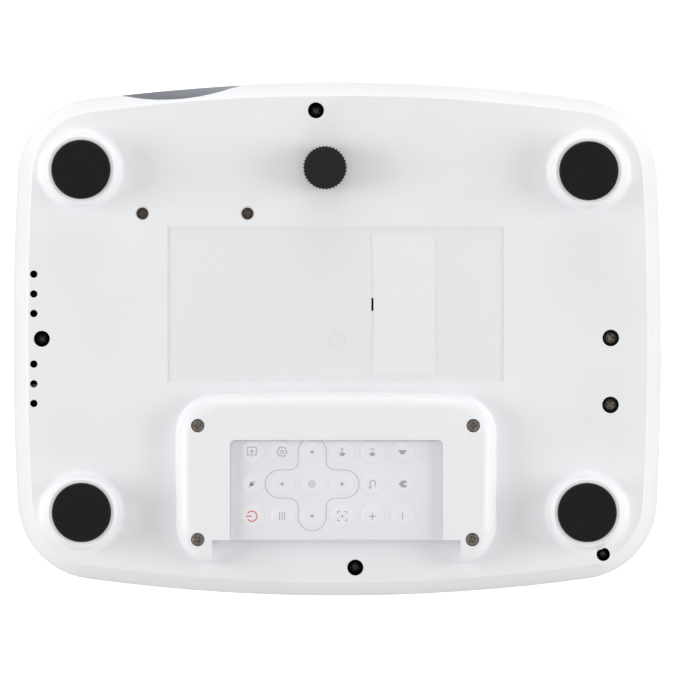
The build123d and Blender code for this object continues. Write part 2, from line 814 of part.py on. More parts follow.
def build_dock_cover():
    """The U-shaped cover under the housing that holds the remote."""
    shell = dock_form(0.0, dock_face_z, 2) - dock_form(dock_wall, dock_face_z + dock_wall, 1)
    pocket_x = (remote_x[0] - dock_gap, remote_x[1] + dock_gap)
    pocket_y = (remote_y[0] - dock_gap, dock_y[1] + 5.0)
    pocket_z = (remote_low_z - dock_gap, base_z + 1.0)
    curb_x = (pocket_x[0] - dock_wall, pocket_x[1] + dock_wall)
    curb = block(curb_x, (pocket_y[0] - dock_wall, dock_y[1] - 0.5), (dock_face_z + 0.5, base_z))
    shell = shell + (curb & dock_form(0.0, dock_face_z, 2))
    for x, y in dock_screw_places:
        shell = shell + rod(x, y, (dock_face_z + 1.0, base_z), dock_boss_radius)
    shell = shell - block(pocket_x, pocket_y, pocket_z)
    window_z = (dock_face_z - 2.0, pocket_z[0] + 1.0)
    window = rounded_block(dock_lip_x, (dock_lip_y, remote_y[1] + 5.0), window_z, 1.8)
    shell = shell - window
    shell = shell - block(pocket_x, (remote_y[1], dock_y[1] + 5.0), (dock_face_z - 2.0, base_z + 1.0))
    for x, y in dock_screw_places:
        shell = shell - rod(x, y, (dock_face_z - 1.0, dock_face_z + 2.4), dock_screw_head + 0.15)
        shell = shell - rod(x, y, (dock_face_z, base_z + 1.0), dock_screw_core + 0.2)
    return shell


remote_high_z = remote_low_z + remote_t
holder_x = (remote_x[1] - 25.0, remote_x[1])
holder_half = 12.0
holder_z = (remote_high_z - 5.0, remote_high_z - 1.0)
remote_mid_y = (remote_y[0] + remote_y[1]) / 2


def build_remote_case():
    """The remote's case, with the slot of its battery holder in one end."""
    case = rounded_block(remote_x, remote_y, (remote_low_z + film_t, remote_high_z), remote_corner)
    case = chamfer(level_edges(case, remote_high_z), 0.8)
    slot_y = (remote_mid_y - holder_half - 0.1, remote_mid_y + holder_half + 0.1)
    slot = block((holder_x[0] - 0.1, holder_x[1] + 1.0), slot_y, (holder_z[0] - 0.1, holder_z[1] + 0.1))
    return case - slot


def build_remote_keypad():
    """The soft film on the remote's face, with its row of raised keys."""
    inset = 0.4
    x = (remote_x[0] + inset, remote_x[1] - inset)
    y = (remote_y[0] + inset, remote_y[1] - inset)
    film = rounded_block(x, y, (remote_low_z, remote_low_z + film_t), remote_corner - inset)
    rise = (remote_low_z - key_height, remote_low_z + 0.1)
    for n in range(key_columns):
        for row in key_rows:
            film = film + prism_post(key_first_x + n * key_pitch, row, rise, key_radius, 12)
    return film


def build_remote_holder():
    """The battery holder that slides into the end of the remote."""
    y = (remote_mid_y - holder_half, remote_mid_y + holder_half)
    holder = block(holder_x, y, holder_z)
    middle = holder_x[0] + 12.2
    pocket = rod(middle, remote_mid_y, (holder_z[0] - 1.0, holder_z[0] + cell_t + 0.3), cell_radius + 0.2)
    return holder - pocket


def build_coin_cell():
    """The remote's coin cell."""
    middle = holder_x[0] + 12.2
    return rod(middle, remote_mid_y, (holder_z[0] + 0.2, holder_z[0] + 0.2 + cell_t), cell_radius)


# ---------------------------------------------------------------- lens and light engine
def build_lens_tube():
    """The fixed barrel, flanged to the front of the light box."""
    inner = tube_outer - tube_wall
    flange_front_y = tube_flange_y - flange_t
    outline = [
        (inner, tube_front_y),
        (tube_outer, tube_front_y),
        (tube_outer, flange_front_y),
        (tube_flange_radius, flange_front_y),
        (tube_flange_radius, tube_flange_y),
        (inner, tube_flange_y),
    ]
    return turned_along_y(outline, lens_x, lens_z)


def build_focus_ring():
    """The ribbed ring that is turned to focus."""
    inner = tube_outer + running_gap
    lip = tube_outer - tube_wall - cell_tube_wall
    grip = toothed(focus_outer, focus_outer - focus_rib, focus_ribs, focus_rear_y - focus_front_y)
    grip = Pos(lens_x, focus_rear_y, lens_z) * Rot(90, 0, 0) * grip
    outline = [
        (0, focus_rear_y + 1.0),
        (inner, focus_rear_y + 1.0),
        (inner, focus_lip_y),
        (lip, focus_lip_y),
        (lip + focus_bevel, focus_front_y),
        (lip + focus_bevel, focus_front_y - 1.0),
        (0, focus_front_y - 1.0),
    ]
    return grip - turned_along_y(outline, lens_x, lens_z)


def build_lens_cell():
    """The inner barrel that carries the glass and slides in the tube."""
    outer = tube_outer - tube_wall - running_gap
    inner = outer - cell_tube_wall
    outline = [(inner, cell_front_y), (outer, cell_front_y), (outer, cell_rear_y), (inner, cell_rear_y)]
    return turned_along_y(outline, lens_x, lens_z)


def sagitta(radius, bulge, at):
    """Depth of a spherical face, bulging by a given depth over a radius, measured at another radius."""
    sphere = (radius ** 2 + bulge ** 2) / (2 * bulge)
    if bulge > 0:
        return sqrt(sphere ** 2 - at ** 2) - sphere + bulge
    return -sqrt(sphere ** 2 - at ** 2) - sphere + bulge


def dome(radius, bulge, rim_y, way, bands):
    """Outline of a spherical face from its rim to its centre, in straight bands and a flat middle."""
    points = []
    for n in range(bands):
        at = radius * (1 - n / bands)
        points.append((at, rim_y + way * sagitta(radius, bulge, at)))
    return points + [(0, points[-1][1])]


def lens_element(middle, bulge_front, bulge_rear, edge, bands):
    """A round glass element with two domed faces; a bulge under zero is hollow."""
    rear = dome(glass_radius, bulge_rear, middle + edge / 2, 1, bands)
    front = dome(glass_radius, bulge_front, middle - edge / 2, -1, bands)
    return turned_along_y(rear[::-1] + front, lens_x, lens_z)


def build_lens_elements():
    """Three glass elements in the cell: domed, hollow on both sides, and domed again."""
    return [
        lens_element(cell_front_y + 4.5, 2.5, 1.0, 4.0, 3),
        lens_element(cell_front_y + 16.0, -1.2, -2.0, 6.0, 2),
        lens_element(cell_rear_y - 5.0, 2.0, 3.0, 4.0, 2),
    ]


def build_engine_case():
    """The closed light box: wide at the rear and narrowed in plan to the lens in front."""
    def hollow(inset, front, rear):
        nose = case_nose_half - inset
        side = case_half_x - inset
        half = [(nose, front), (side, case_taper_y), (side, rear)]
        plan = Polyline(*half, *[(-x, y) for x, y in half[::-1]], close=True)
        height = case_half_z - inset
        return Pos(lens_x, 0, lens_z - height) * extrude(make_face(plan), 2 * height, dir=(0, 0, 1))

    case = hollow(0.0, tube_flange_y, case_rear_y)
    case = case - hollow(case_wall, tube_flange_y + case_wall, case_rear_y + 1.0)
    half = (case_half_x - case_wall / 2, case_half_z - case_wall / 2)
    holder = centred(lens_x, lens_z, half, (condenser_rim_y, condenser_flat_y), 0.0)
    seat_y = (condenser_rim_y - 3.0, condenser_flat_y + 4.0)
    holder = holder - rod_along_y(lens_x, lens_z, seat_y, condenser_radius + glass_gap)
    mouth = tube_outer - tube_wall
    return case + holder - rod_along_y(lens_x, lens_z, (tube_flange_y - 1.0, tube_flange_y + 5.0), mouth)


def plate_in_case(y, thickness):
    """A flat plate that fills the light box's section."""
    half = (case_half_x - case_wall, case_half_z - case_wall)
    return centred(lens_x, lens_z, half, (y, y + thickness), -glass_gap)


def build_led_module():
    """The light source: a square board with its emitter."""
    front = case_rear_y - led_board_t
    board = centred(lens_x, lens_z, (led_board_half, led_board_half), (front, case_rear_y), 0.0)
    return board + centred(lens_x, lens_z, (led_half, led_half), (front - led_t, front + 0.1), 0.0)


def build_heatsink():
    """The finned heat sink behind the light source."""
    low_y = case_rear_y
    base = centred(lens_x, lens_z, (sink_half + sink_ear, case_half_z), (low_y, low_y + sink_base_t), 0.0)
    fins = []
    for n in range(sink_fins):
        z = lens_z - case_half_z + sink_fin_t / 2 + n * (2 * case_half_z - sink_fin_t) / (sink_fins - 1)
        depth = (low_y + sink_base_t - 0.5, low_y + sink_base_t + sink_fin_depth)
        fins.append(centred(lens_x, z, (sink_half, sink_fin_t / 2), depth, 0.0))
    return base + fins


def build_condenser():
    """The thick condenser lens in front of the light source, flat towards the light."""
    front = dome(condenser_radius, condenser_bulge, condenser_rim_y, -1, 2)
    outline = [(0, condenser_flat_y), (condenser_radius, condenser_flat_y)] + front
    return turned_along_y(outline, lens_x, lens_z)


# ---------------------------------------------------------------- fan
def build_fan_frame():
    """The fan's square frame with its motor seat on three arms."""
    half = fan_size / 2
    frame = block(fan_x, (fan_y - half, fan_y + half), (fan_z - half, fan_z + half))
    frame = fillet(frame.edges().filter_by(Axis.X), 3.0)
    frame = frame - rod_along_x(fan_y, fan_z, (fan_x[0] - 1, fan_x[1] + 1), fan_bore)
    seat_x = (fan_x[1] - fan_web, fan_x[1])
    frame = frame + rod_along_x(fan_y, fan_z, seat_x, fan_hub)
    for turn in (90, 210, 330):
        arm = block(seat_x, (fan_hub - 1.0, fan_bore + 1.0), (-1.5, 1.5))
        frame = frame + Pos(0, fan_y, fan_z) * Rot(turn, 0, 0) * arm
    return frame + rod_along_x(fan_y, fan_z, (fan_x[1] - 9.0, fan_x[1] - 1.0), fan_shaft)


def build_fan_impeller():
    """The fan's hub and blades."""
    x = (fan_x[0] + 1.5, fan_x[1] - fan_web - 0.5)
    hub = rod_along_x(fan_y, fan_z, x, fan_hub)
    hub = hub - rod_along_x(fan_y, fan_z, (fan_x[1] - 9.3, fan_x[1]), fan_shaft + 0.05)
    middle = (x[0] + x[1]) / 2
    blades = []
    for n in range(fan_blades):
        blade = Pos(middle, 0, fan_tip / 2) * Rot(0, 0, 38) * Box(9.0, 1.3, fan_tip)
        blades.append(Pos(0, fan_y, fan_z) * Rot(360.0 * n / fan_blades, 0, 0) * blade)
    swept = fuse(blades) & rod_along_x(fan_y, fan_z, (x[0] + 0.3, x[1] - 0.3), fan_tip)
    return hub + (swept - rod_along_x(fan_y, fan_z, (x[0] - 1, x[1] + 1), fan_hub - 1.0))


# ---------------------------------------------------------------- disc drive
drive_high_z = drive_low_z + drive_t


def build_drive_chassis():
    """The drive's sheet steel case, open towards the tray's end."""
    y = (-drive_half, drive_half)
    outer = block(drive_x, y, (drive_low_z, drive_high_z))
    inner_z = (drive_low_z + sheet_t, drive_high_z - sheet_t)
    inner = block((drive_x[0] + sheet_t, drive_x[1] + 1.0), (y[0] + sheet_t, y[1] - sheet_t), inner_z)
    return outer - inner


def build_drive_bracket():
    """The bent steel bracket that carries the drive's open end."""
    x = (89.0, 101.0)
    y = (-7.0, 30.0)
    t = 1.2
    foot = block(x, y, (bracket_base_z, bracket_base_z + t))
    web = block((x[0], x[0] + t), y, (bracket_base_z, drive_low_z))
    shelf = block(x, y, (drive_low_z - t, drive_low_z))
    bracket = foot + web + shelf
    for px, py in bracket_places:
        bracket = bracket - rod(px, py, (bracket_base_z - 1, bracket_base_z + t + 1), screw_core + 0.05)
    return bracket


def sled_frame(along, across, z):
    """A place on the tray, from its distance along and across the sled's line."""
    a = radians(sled_angle)
    return (disc_x + along * cos(a) - across * sin(a), along * sin(a) + across * cos(a), z)


def along_sled(along, across, z):
    """A box whose length follows the sled's line."""
    size = (along[1] - along[0], across[1] - across[0], z[1] - z[0])
    middle = sled_frame((along[0] + along[1]) / 2, (across[0] + across[1]) / 2, (z[0] + z[1]) / 2)
    return Pos(*middle) * Rot(0, 0, sled_angle) * Box(*size)


def rod_along_sled(along, across, z, radius):
    """A round bar whose length follows the sled's line."""
    middle = sled_frame((along[0] + along[1]) / 2, across, z)
    return Pos(*middle) * Rot(0, 0, sled_angle) * Rot(0, 90, 0) * Cylinder(radius, along[1] - along[0])


tray_half = drive_half - sheet_t - tray_gap - rail_t - tray_gap
motor_span = (screw_span[1], screw_span[1] + step_motor_length)


def build_disc_tray():
    """The tray, with a well for the disc and the openings of its mechanism."""
    tray = block(tray_x, (-tray_half, tray_half), (tray_low_z, tray_rim_z))
    tray = tray - rod(disc_x, 0, (tray_floor_z, tray_rim_z + 1), disc_well)
    tray = tray - rod(disc_x, 0, (tray_floor_z - small_disc_depth, tray_rim_z), small_disc_well)
    notch = block((tray_x[0] - 1, disc_x - 38.0), (-22.0, 22.0), (tray_floor_z, tray_rim_z + 1))
    tray = tray - notch
    tray = tray - rod(disc_x, 0, (tray_low_z - 1, tray_rim_z), motor_radius + 0.2)
    through = (tray_low_z - 1, tray_rim_z)
    sled_side = sled_half_across + 0.6
    tray = tray - along_sled((8.0, rod_span[1] - 2.0), (-sled_side, sled_side), through)
    screw_side = (rod_across, screw_across + step_motor_radius + 0.3)
    tray = tray - along_sled((screw_span[0] - 0.5, motor_span[1] + 0.2), screw_side, through)
    groove_half = rod_radius + 0.1
    for side in (-1, 1):
        groove_side = (side * rod_across - groove_half, side * rod_across + groove_half)
        groove_z = (tray_low_z - 1, rod_z + groove_half)
        tray = tray - along_sled((rod_span[0] - 6.0, rod_span[1] + 0.1), groove_side, groove_z)
    for x, y in ((disc_x - 28.5, 40.0), (disc_x + 26.5, 40.0), (disc_x + 29.5, -42.0)):
        pocket = block((x - 16, x + 16), (y - 12, y + 12), (tray_low_z - 1, tray_floor_z - 2.4))
        tray = tray - pocket
    return tray


def build_tray_bezel():
    """The tray's front, curved like the side wall, with a hole for its button."""
    strip = block((tray_x[1], half_width + 5.0), (-bezel_half, bezel_half), bezel_z)
    bezel = strip & prism(0.0, bezel_z[0] - 1, bezel_z[1] + 1)
    z = (bezel_z[0] + bezel_z[1]) / 2
    hole = block(
        (tray_x[1] - 1, half_width + 5.0),
        (eject_y - eject_size[0] / 2 - 0.2, eject_y + eject_size[0] / 2 + 0.2),
        (z - eject_size[1] / 2 - 0.2, z + eject_size[1] / 2 + 0.2),
    )
    return bezel - hole - rod_along_x(eject_y + 9.0, z, (tray_x[1] - 1, half_width + 5), 0.6)


def build_eject_button():
    """The small button on the tray's front."""
    z = (bezel_z[0] + bezel_z[1]) / 2
    y = (eject_y - eject_size[0] / 2, eject_y + eject_size[0] / 2)
    cap = block((tray_x[1] + 0.9, half_width + 5.0), y, (z - eject_size[1] / 2, z + eject_size[1] / 2))
    return cap & prism(-0.3, z - 5, z + 5)


def build_tray_rail(side):
    """One of the two telescopic rails beside the tray."""
    outer = drive_half - sheet_t - tray_gap
    y = tuple(sorted((side * outer, side * (outer - rail_t))))
    return block(rail_x, y, rail_z)


def build_spindle_motor():
    """The flat motor under the disc, with its shaft."""
    body = rod(disc_x, 0, (tray_low_z + 0.2, motor_top_z), motor_radius)
    clear = along_sled((9.0, 30.0), (-30.0, 30.0), (tray_low_z - 1, hub_top_z))
    return (body - clear) + rod(disc_x, 0, (motor_top_z - 0.5, disc_seat_z), spindle_radius)


def build_spindle_hub():
    """The turntable and the boss that the disc is pressed on."""
    table = rod(disc_x, 0, (motor_top_z + 0.4, disc_seat_z), hub_radius - 0.5)
    boss = rod(disc_x, 0, (disc_seat_z - 0.5, hub_top_z), hub_boss_radius)
    boss = chamfer(level_edges(boss, hub_top_z), 0.8)
    hub = table + boss
    pad_x = (hub_boss_radius - 1.5, hub_boss_radius + 0.25)
    pad = block(pad_x, (-1.2, 1.2), (disc_seat_z + 0.6, disc_seat_z + 1.2))
    for turn in (30, 150, 270):
        hub = hub + Pos(disc_x, 0, 0) * Rot(0, 0, turn) * pad
    return hub - rod(disc_x, 0, (motor_top_z, disc_seat_z + 0.2), spindle_radius + 0.05)


def build_pickup_sled():
    """The laser's sled on its two rods, with the half nut on the screw."""
    span = (sled_rest - sled_half_along, sled_rest + sled_half_along)
    sled = along_sled(span, (-sled_half_across, sled_half_across), sled_z)
    sled = sled - rod_along_sled((span[0] - 1, span[1] + 1), rod_across, rod_z, rod_radius + 0.05)
    fork = rod_radius + 0.1
    fork_side = (-sled_half_across - 1, fork - rod_across)
    sled = sled - along_sled((span[0] - 1, span[1] + 1), fork_side, (rod_z - fork, rod_z + fork))
    nut_along = (sled_rest + nut_offset - 1.5, sled_rest + nut_offset + 1.5)
    nut_side = (sled_half_across - 0.2, screw_across - rod_radius - 0.15)
    nut = along_sled(nut_along, nut_side, (rod_z - 1.2, rod_z + 1.2))
    hole = rod(*sled_frame(sled_rest, 0, 0)[:2], (sled_z[1] - 1.0, sled_z[1] + 1), 2.3)
    return sled + nut - hole


def build_pickup_lens():
    """The objective lens of the laser."""
    x, y, _ = sled_frame(sled_rest, 0, 0)
    lens = rod(x, y, (sled_z[1] - 0.95, sled_z[1] + 0.35), 2.2)
    return chamfer(level_edges(lens, sled_z[1] + 0.35), 0.3)


def build_guide_rods():
    """The two polished rods that the sled runs on."""
    return [rod_along_sled(rod_span, side * rod_across, rod_z, rod_radius) for side in (-1, 1)]


def build_lead_screw():
    """The screw that moves the sled."""
    return rod_along_sled((screw_span[0], screw_span[1] - 0.3), screw_across, rod_z, rod_radius)


def build_sled_motor():
    """The stepping motor of the screw."""
    return rod_along_sled(motor_span, screw_across, rod_z + 0.3, step_motor_radius)


# ---------------------------------------------------------------- boards and what is on them
def build_main_board():
    """The main board with its chips."""
    board = block(main_x, main_y, (main_z, main_z + board_t))
    top = main_z + board_t
    parts = [
        block((30, 52), (34, 56), (top - 0.1, top + 5.0)),
        block((60, 72), (40, 52), (top - 0.1, top + 1.6)),
        block((60, 70), (22, 28), (top - 0.1, top + 1.2)),
        block((20, 26), (34, 52), (top - 0.1, top + 6.0)),
    ]
    return fuse([board] + parts)


def build_power_board():
    """The mains supply: transformer, capacitors and coil on their board."""
    board = block(power_x, power_y, (power_z, power_z + board_t))
    top = power_z + board_t
    parts = [
        block((40, 64), (-42, -20), (top - 0.1, top + 18.0)),
        rod(26, -30, (top - 0.1, top + 24.0), 8.0),
        rod(72, -14, (top - 0.1, top + 14.0), 4.0),
        rod(72, -26, (top - 0.1, top + 14.0), 4.0),
        block((18, 34), (-14, -6), (top - 0.1, top + 12.0)),
        block((44, 62), (-12, -8), (top - 0.1, top + 16.0)),
    ]
    return fuse([board] + parts)


def build_rear_sockets():
    """The sockets on the main board's rear edge: two with flat mouths and two round ones."""
    low = main_z + board_t
    front = 69.0
    face = port_floor_y - 0.2
    sockets = []
    for name, (x, half_w, height) in socket_rows.items():
        body = block((x - half_w, x + half_w), (front, face), (low, low + height))
        if name in ("sound", "video"):
            body = body - rod_along_y(x, low + height / 2, (face - 13.0, face + 1.0), 1.8)
        else:
            mouth_z = (low + 0.7, low + height - 0.7)
            body = body - block((x - half_w + 0.7, x + half_w - 0.7), (face - 10.0, face + 1.0), mouth_z)
            tongue_z = (low + height / 2 - 0.2, low + height / 2 + 0.8)
            body = body + block((x - half_w + 2.0, x + half_w - 2.0), (face - 10.5, face - 1.0), tongue_z)
        sockets.append(body)
    return sockets


def build_ac_inlet():
    """The mains inlet with two pins in an eight-shaped mouth."""
    face = port_floor_y + 1.6
    body = centred(inlet_x, inlet_z, inlet_body, (port_floor_y - 16.0, port_floor_y + 0.2), 0.0)
    flange = centred(inlet_x, inlet_z, inlet_flange, (port_floor_y, face), 0.0)
    inlet = body + flange
    mouth = Pos(inlet_x, face + 0.1, inlet_z) * Rot(90, 0, 0) * extrude(SlotOverall(16.5, 8.4), 13.0)
    inlet = inlet - mouth
    for side in (-1, 1):
        inlet = inlet + rod_along_y(inlet_x + side * 4.3, inlet_z, (face - 13.5, face - 2.0), 1.2)
    return inlet


def build_speakers():
    """Two small loudspeakers behind the slots of the front wall."""
    speakers = []
    for x, z in speaker_places:
        half = speaker_size / 2
        flange = block((x - half, x + half), (speaker_y[0], speaker_y[0] + 1.5), (z - half, z + half))
        basket = rod_along_y(x, z, (speaker_y[0] + 1.0, speaker_y[0] + 7.0), speaker_cone + 1.0)
        magnet = rod_along_y(x, z, (speaker_y[0] + 6.5, speaker_y[1]), 10.0)
        deep, rim = speaker_y[0] + 5.0, speaker_y[0] - 0.5
        cone = turned_along_y([(0, deep), (5.0, deep), (speaker_cone - 1.0, rim), (0, rim)], x, z)
        speakers.append(flange + basket + magnet - cone)
    return speakers


def switch_centres():
    """Where each key of the roof presses its switch."""
    places = {name: (x, y) for name, (x, y, _) in round_buttons.items()}
    middle = (arrow_ring[0] + arrow_ring[1]) / 2
    for name, turn in arrow_buttons.items():
        angle = radians(turn)
        places[name] = (arrow_centre[0] + middle * cos(angle), arrow_centre[1] + middle * sin(angle))
    return places


def build_key_board():
    """The board under the roof that carries the key switches."""
    return block(key_board_x, key_board_y, (key_board_z, key_board_z + board_t))


def build_tact_switches():
    """One small push switch under each key."""
    low = key_board_z + board_t
    half = switch_size / 2
    switches = []
    for x, y in switch_centres().values():
        base = block((x - half, x + half), (y - half, y + half), (low, switch_top_z - 1.0))
        switches.append(base + prism_post(x, y, (low + 0.5, switch_top_z), 1.6, 8))
    return switches


def build_button(name):
    """A key of the roof: its cap, the flange that keeps it in, and its stem."""
    cap = button_shape(name, inner_roof_z - button_flange - 0.1, roof_z + button_proud, 0.0)
    top = level_edges(cap, roof_z + button_proud)
    cap = chamfer(top, 0.4)
    x, y = switch_centres()[name]
    flange = button_shape(name, inner_roof_z - 0.2 - button_flange, inner_roof_z - 0.2, 0.9)
    stem = rod(x, y, (button_stem_z, inner_roof_z - button_flange), 1.8)
    return cap + flange + stem


# ---------------------------------------------------------------- writing
nodes = {
    "bottom_shell": build_bottom_shell(),
    "top_shell": build_top_shell(),
    "lens_bezel": build_lens_bezel(),
    "front_ir_window": build_ir_window(),
    "exhaust_grille": build_exhaust_grille(),
    "rubber_feet": build_rubber_feet(),
    "housing_screws": build_housing_screws(),
    "drive_bracket_screws": build_bracket_screws(),
    "mounting_inserts": build_mounting_inserts(),
    "label_sticker": build_sticker(),
    "adjuster_insert": build_adjuster_insert(),
    "adjuster_stud": build_adjuster_stud(),
    "adjuster_knob": build_adjuster_knob(),
    "remote_dock_cover": build_dock_cover(),
    "dock_cover_screws": build_dock_screws(),
    "remote_case": build_remote_case(),
    "remote_keypad": build_remote_keypad(),
    "remote_battery_holder": build_remote_holder(),
    "coin_cell": build_coin_cell(),
    "lens_tube": build_lens_tube(),
    "focus_ring": build_focus_ring(),
    "lens_cell": build_lens_cell(),
    "lens_elements": build_lens_elements(),
    "engine_case": build_engine_case(),
    "lcd_panel": plate_in_case(panel_y, panel_t),
    "fresnel_lens": plate_in_case(fresnel_y, fresnel_t),
    "condenser_lens": build_condenser(),
    "led_module": build_led_module(),
    "heatsink": build_heatsink(),
    "fan_frame": build_fan_frame(),
    "fan_impeller": build_fan_impeller(),
    "drive_bracket": build_drive_bracket(),
    "drive_chassis": build_drive_chassis(),
    "tray_rail_front": build_tray_rail(-1),
    "tray_rail_rear": build_tray_rail(1),
    "disc_tray": build_disc_tray(),
    "tray_bezel": build_tray_bezel(),
    "eject_button": build_eject_button(),
    "spindle_motor": build_spindle_motor(),
    "spindle_hub": build_spindle_hub(),
    "pickup_sled": build_pickup_sled(),
    "pickup_lens": build_pickup_lens(),
    "sled_guide_rods": build_guide_rods(),
    "sled_lead_screw": build_lead_screw(),
    "sled_motor": build_sled_motor(),
    "main_board": build_main_board(),
    "power_board": build_power_board(),
    "rear_sockets": build_rear_sockets(),
    "ac_inlet": build_ac_inlet(),
    "speakers": build_speakers(),
    "key_board": build_key_board(),
    "tact_switches": build_tact_switches(),
}
for button_name in list(round_buttons) + list(arrow_buttons):
    nodes[button_name] = build_button(button_name)

os.makedirs("parts", exist_ok=True)
for node_name, shape in nodes.items():
    pieces = shape if isinstance(shape, list) else [shape]
    solids = [solid for piece in pieces for solid in piece.solids()]
    whole = solids[0] if len(solids) == 1 else Compound(solids)
    whole.label = node_name
    export_step(whole, f"parts/{node_name}.step")
    print(node_name, len(solids), "solid(s)", round(sum(s.volume for s in solids)), "mm3")
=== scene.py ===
"""The looks of a white portable projector with a disc drive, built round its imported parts.

Lengths are in metres, and the ones written as real sizes are in millimetres times MM.
The object stands on Z = 0, its lens looks along -Y and its tray comes out along +X.
"""

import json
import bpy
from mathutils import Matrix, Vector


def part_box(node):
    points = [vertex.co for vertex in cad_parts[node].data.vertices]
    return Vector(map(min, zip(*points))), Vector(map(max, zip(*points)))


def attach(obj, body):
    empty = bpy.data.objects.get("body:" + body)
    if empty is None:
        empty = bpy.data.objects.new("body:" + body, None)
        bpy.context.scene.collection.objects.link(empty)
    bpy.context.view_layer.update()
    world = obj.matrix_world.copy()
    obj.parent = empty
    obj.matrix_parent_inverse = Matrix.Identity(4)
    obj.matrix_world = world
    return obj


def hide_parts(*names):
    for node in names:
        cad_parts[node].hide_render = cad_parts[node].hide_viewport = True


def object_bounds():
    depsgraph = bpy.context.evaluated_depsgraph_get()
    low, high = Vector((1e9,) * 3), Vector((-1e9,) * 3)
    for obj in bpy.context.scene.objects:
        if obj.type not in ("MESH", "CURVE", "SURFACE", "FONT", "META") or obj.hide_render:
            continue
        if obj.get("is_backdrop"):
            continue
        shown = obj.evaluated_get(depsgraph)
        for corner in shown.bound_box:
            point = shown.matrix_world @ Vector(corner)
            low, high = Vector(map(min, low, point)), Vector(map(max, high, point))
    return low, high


bl_info = {
    "name": "Disc projector looks",
    "version": (1, 0, 0),
    "blender": (4, 5, 0),
    "location": "View3D > Sidebar > Projector",
    "description": "Finishes, small fittings and stage of a portable projector with a disc tray",
    "category": "Object",
}

from math import cos, pi, radians, sin

import bmesh
import bpy
from bpy.props import FloatProperty, FloatVectorProperty, IntProperty, PointerProperty
from mathutils import Matrix, Vector

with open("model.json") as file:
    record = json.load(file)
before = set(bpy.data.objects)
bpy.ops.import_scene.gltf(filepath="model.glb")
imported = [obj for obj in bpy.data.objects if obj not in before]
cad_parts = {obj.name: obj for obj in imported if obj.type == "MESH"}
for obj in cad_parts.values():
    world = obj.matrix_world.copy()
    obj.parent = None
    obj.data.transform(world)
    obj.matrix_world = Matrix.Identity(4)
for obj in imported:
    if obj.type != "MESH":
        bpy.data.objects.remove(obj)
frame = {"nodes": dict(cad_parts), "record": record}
NODES = frame["nodes"]
MM = 0.001
BODY_OF = {node: body for body, nodes in frame["record"]["behaviour"]["bodies"].items() for node in nodes}
SLOT_OF = {part["node"]: part["material_slot"] for part in frame["record"]["subparts"]}

# Places on the underside, in millimetres
FOOT_PLACES = [(-89.2, -58.8), (87.4, -58.3), (-89.0, 60.5), (86.8, 60.5)]
WELLS = [(-7.5, -79.4, 2.8), (-102.9, 0.1, 2.8), (6.2, 79.7, 2.8), (92.5, 75.1, 2.35)]
BRACKET_WELLS = [(95.1, -0.2), (95.0, 23.1)]
DOCK_SCREWS = [(-48.6, 30.3), (47.2, 30.3), (-48.6, 69.9), (46.9, 69.9)]
INSERTS = [(-67.9, -43.5), (-31.3, -43.5)]
KNOB = (-4.35, -59.4)
LABEL = ((-59.2, 57.9), (-39.0, 15.1))
MARK = (-0.5, 0.5)
FLOOR_Z = 11.0
WELL_TOP_Z = 40.0
# Screws, in millimetres: head radius, head height and core radius
WIDE_SCREW = (2.6, 2.2, 1.2)
SLIM_SCREW = (2.15, 2.2, 1.2)
DOCK_SCREW = (2.2, 1.6, 0.9)
WIDE_WELL_RADIUS = 2.5
HOUSING_SEAT_Z = 31.0
BRACKET_SEAT_Z = 17.0
# The lens recess: its axis as (x, z), where its wall starts, and how its mouth widens
LENS_AXIS = (-55.5, 44.0)
RECESS_START_Y = -79.9
FLARE_Y = (-89.4, -83.4)
FLARE_RADIUS = (35.1, 31.5)
KEY_FIRST_X = -29.75
KEY_PITCH = 10.47
KEY_ROWS = (39.4, 50.6, 61.8)


# ---------------------------------------------------------------- colours and material nodes
def srgb(code):
    """A linear colour with full alpha from an sRGB hex code."""
    values = [int(code[i:i + 2], 16) / 255 for i in (1, 3, 5)]
    linear = [v / 12.92 if v <= 0.04045 else ((v + 0.055) / 1.055) ** 2.4 for v in values]
    return (*linear, 1.0)


def opaque(colour, tint=1.0):
    """A colour with full alpha, darker where the tint is under one."""
    return tuple(c * tint for c in colour[:3]) + (1.0,)


def add(tree, kind, links=None, **settings):
    """A node with its settings; links gives each input a value or the socket that feeds it."""
    node = tree.nodes.new(kind)
    for name, value in settings.items():
        setattr(node, name, value)
    for name, source in (links or {}).items():
        if isinstance(source, bpy.types.NodeSocket):
            tree.links.new(source, node.inputs[name])
        else:
            node.inputs[name].default_value = source
    return node


def blank(name):
    """An empty material, its tree and its output."""
    made = bpy.data.materials.new(name)
    made.use_nodes = True
    made.node_tree.nodes.clear()
    tree = made.node_tree
    return made, tree, add(tree, "ShaderNodeOutputMaterial")


def place_on(tree):
    """The place on the object, in metres."""
    return add(tree, "ShaderNodeTexCoord").outputs["Object"]


def maths(tree, operation, *values):
    """The result of a Math node."""
    return add(tree, "ShaderNodeMath", dict(enumerate(values)), operation=operation).outputs[0]


def vectors(tree, operation, first, second, output="Vector"):
    """The result of a Vector Math node."""
    made = add(tree, "ShaderNodeVectorMath", {0: first, 1: second}, operation=operation)
    return made.outputs[output]


def noise(tree, size_mm, detail=2.0, stretch=(1.0, 1.0, 1.0)):
    """Noise whose blotches are about a size in millimetres, longer where stretch is under one."""
    mapped = add(tree, "ShaderNodeMapping", {"Vector": place_on(tree), "Scale": stretch}).outputs["Vector"]
    links = {"Vector": mapped, "Scale": 1.0 / (size_mm * MM), "Detail": detail}
    return add(tree, "ShaderNodeTexNoise", links).outputs["Fac"]


def spread(tree, value, low, high, start=0.35, end=0.65):
    """A value between start and end turned into one between low and high."""
    links = {"Value": value, "From Min": start, "From Max": end, "To Min": low, "To Max": high}
    return add(tree, "ShaderNodeMapRange", links).outputs["Result"]


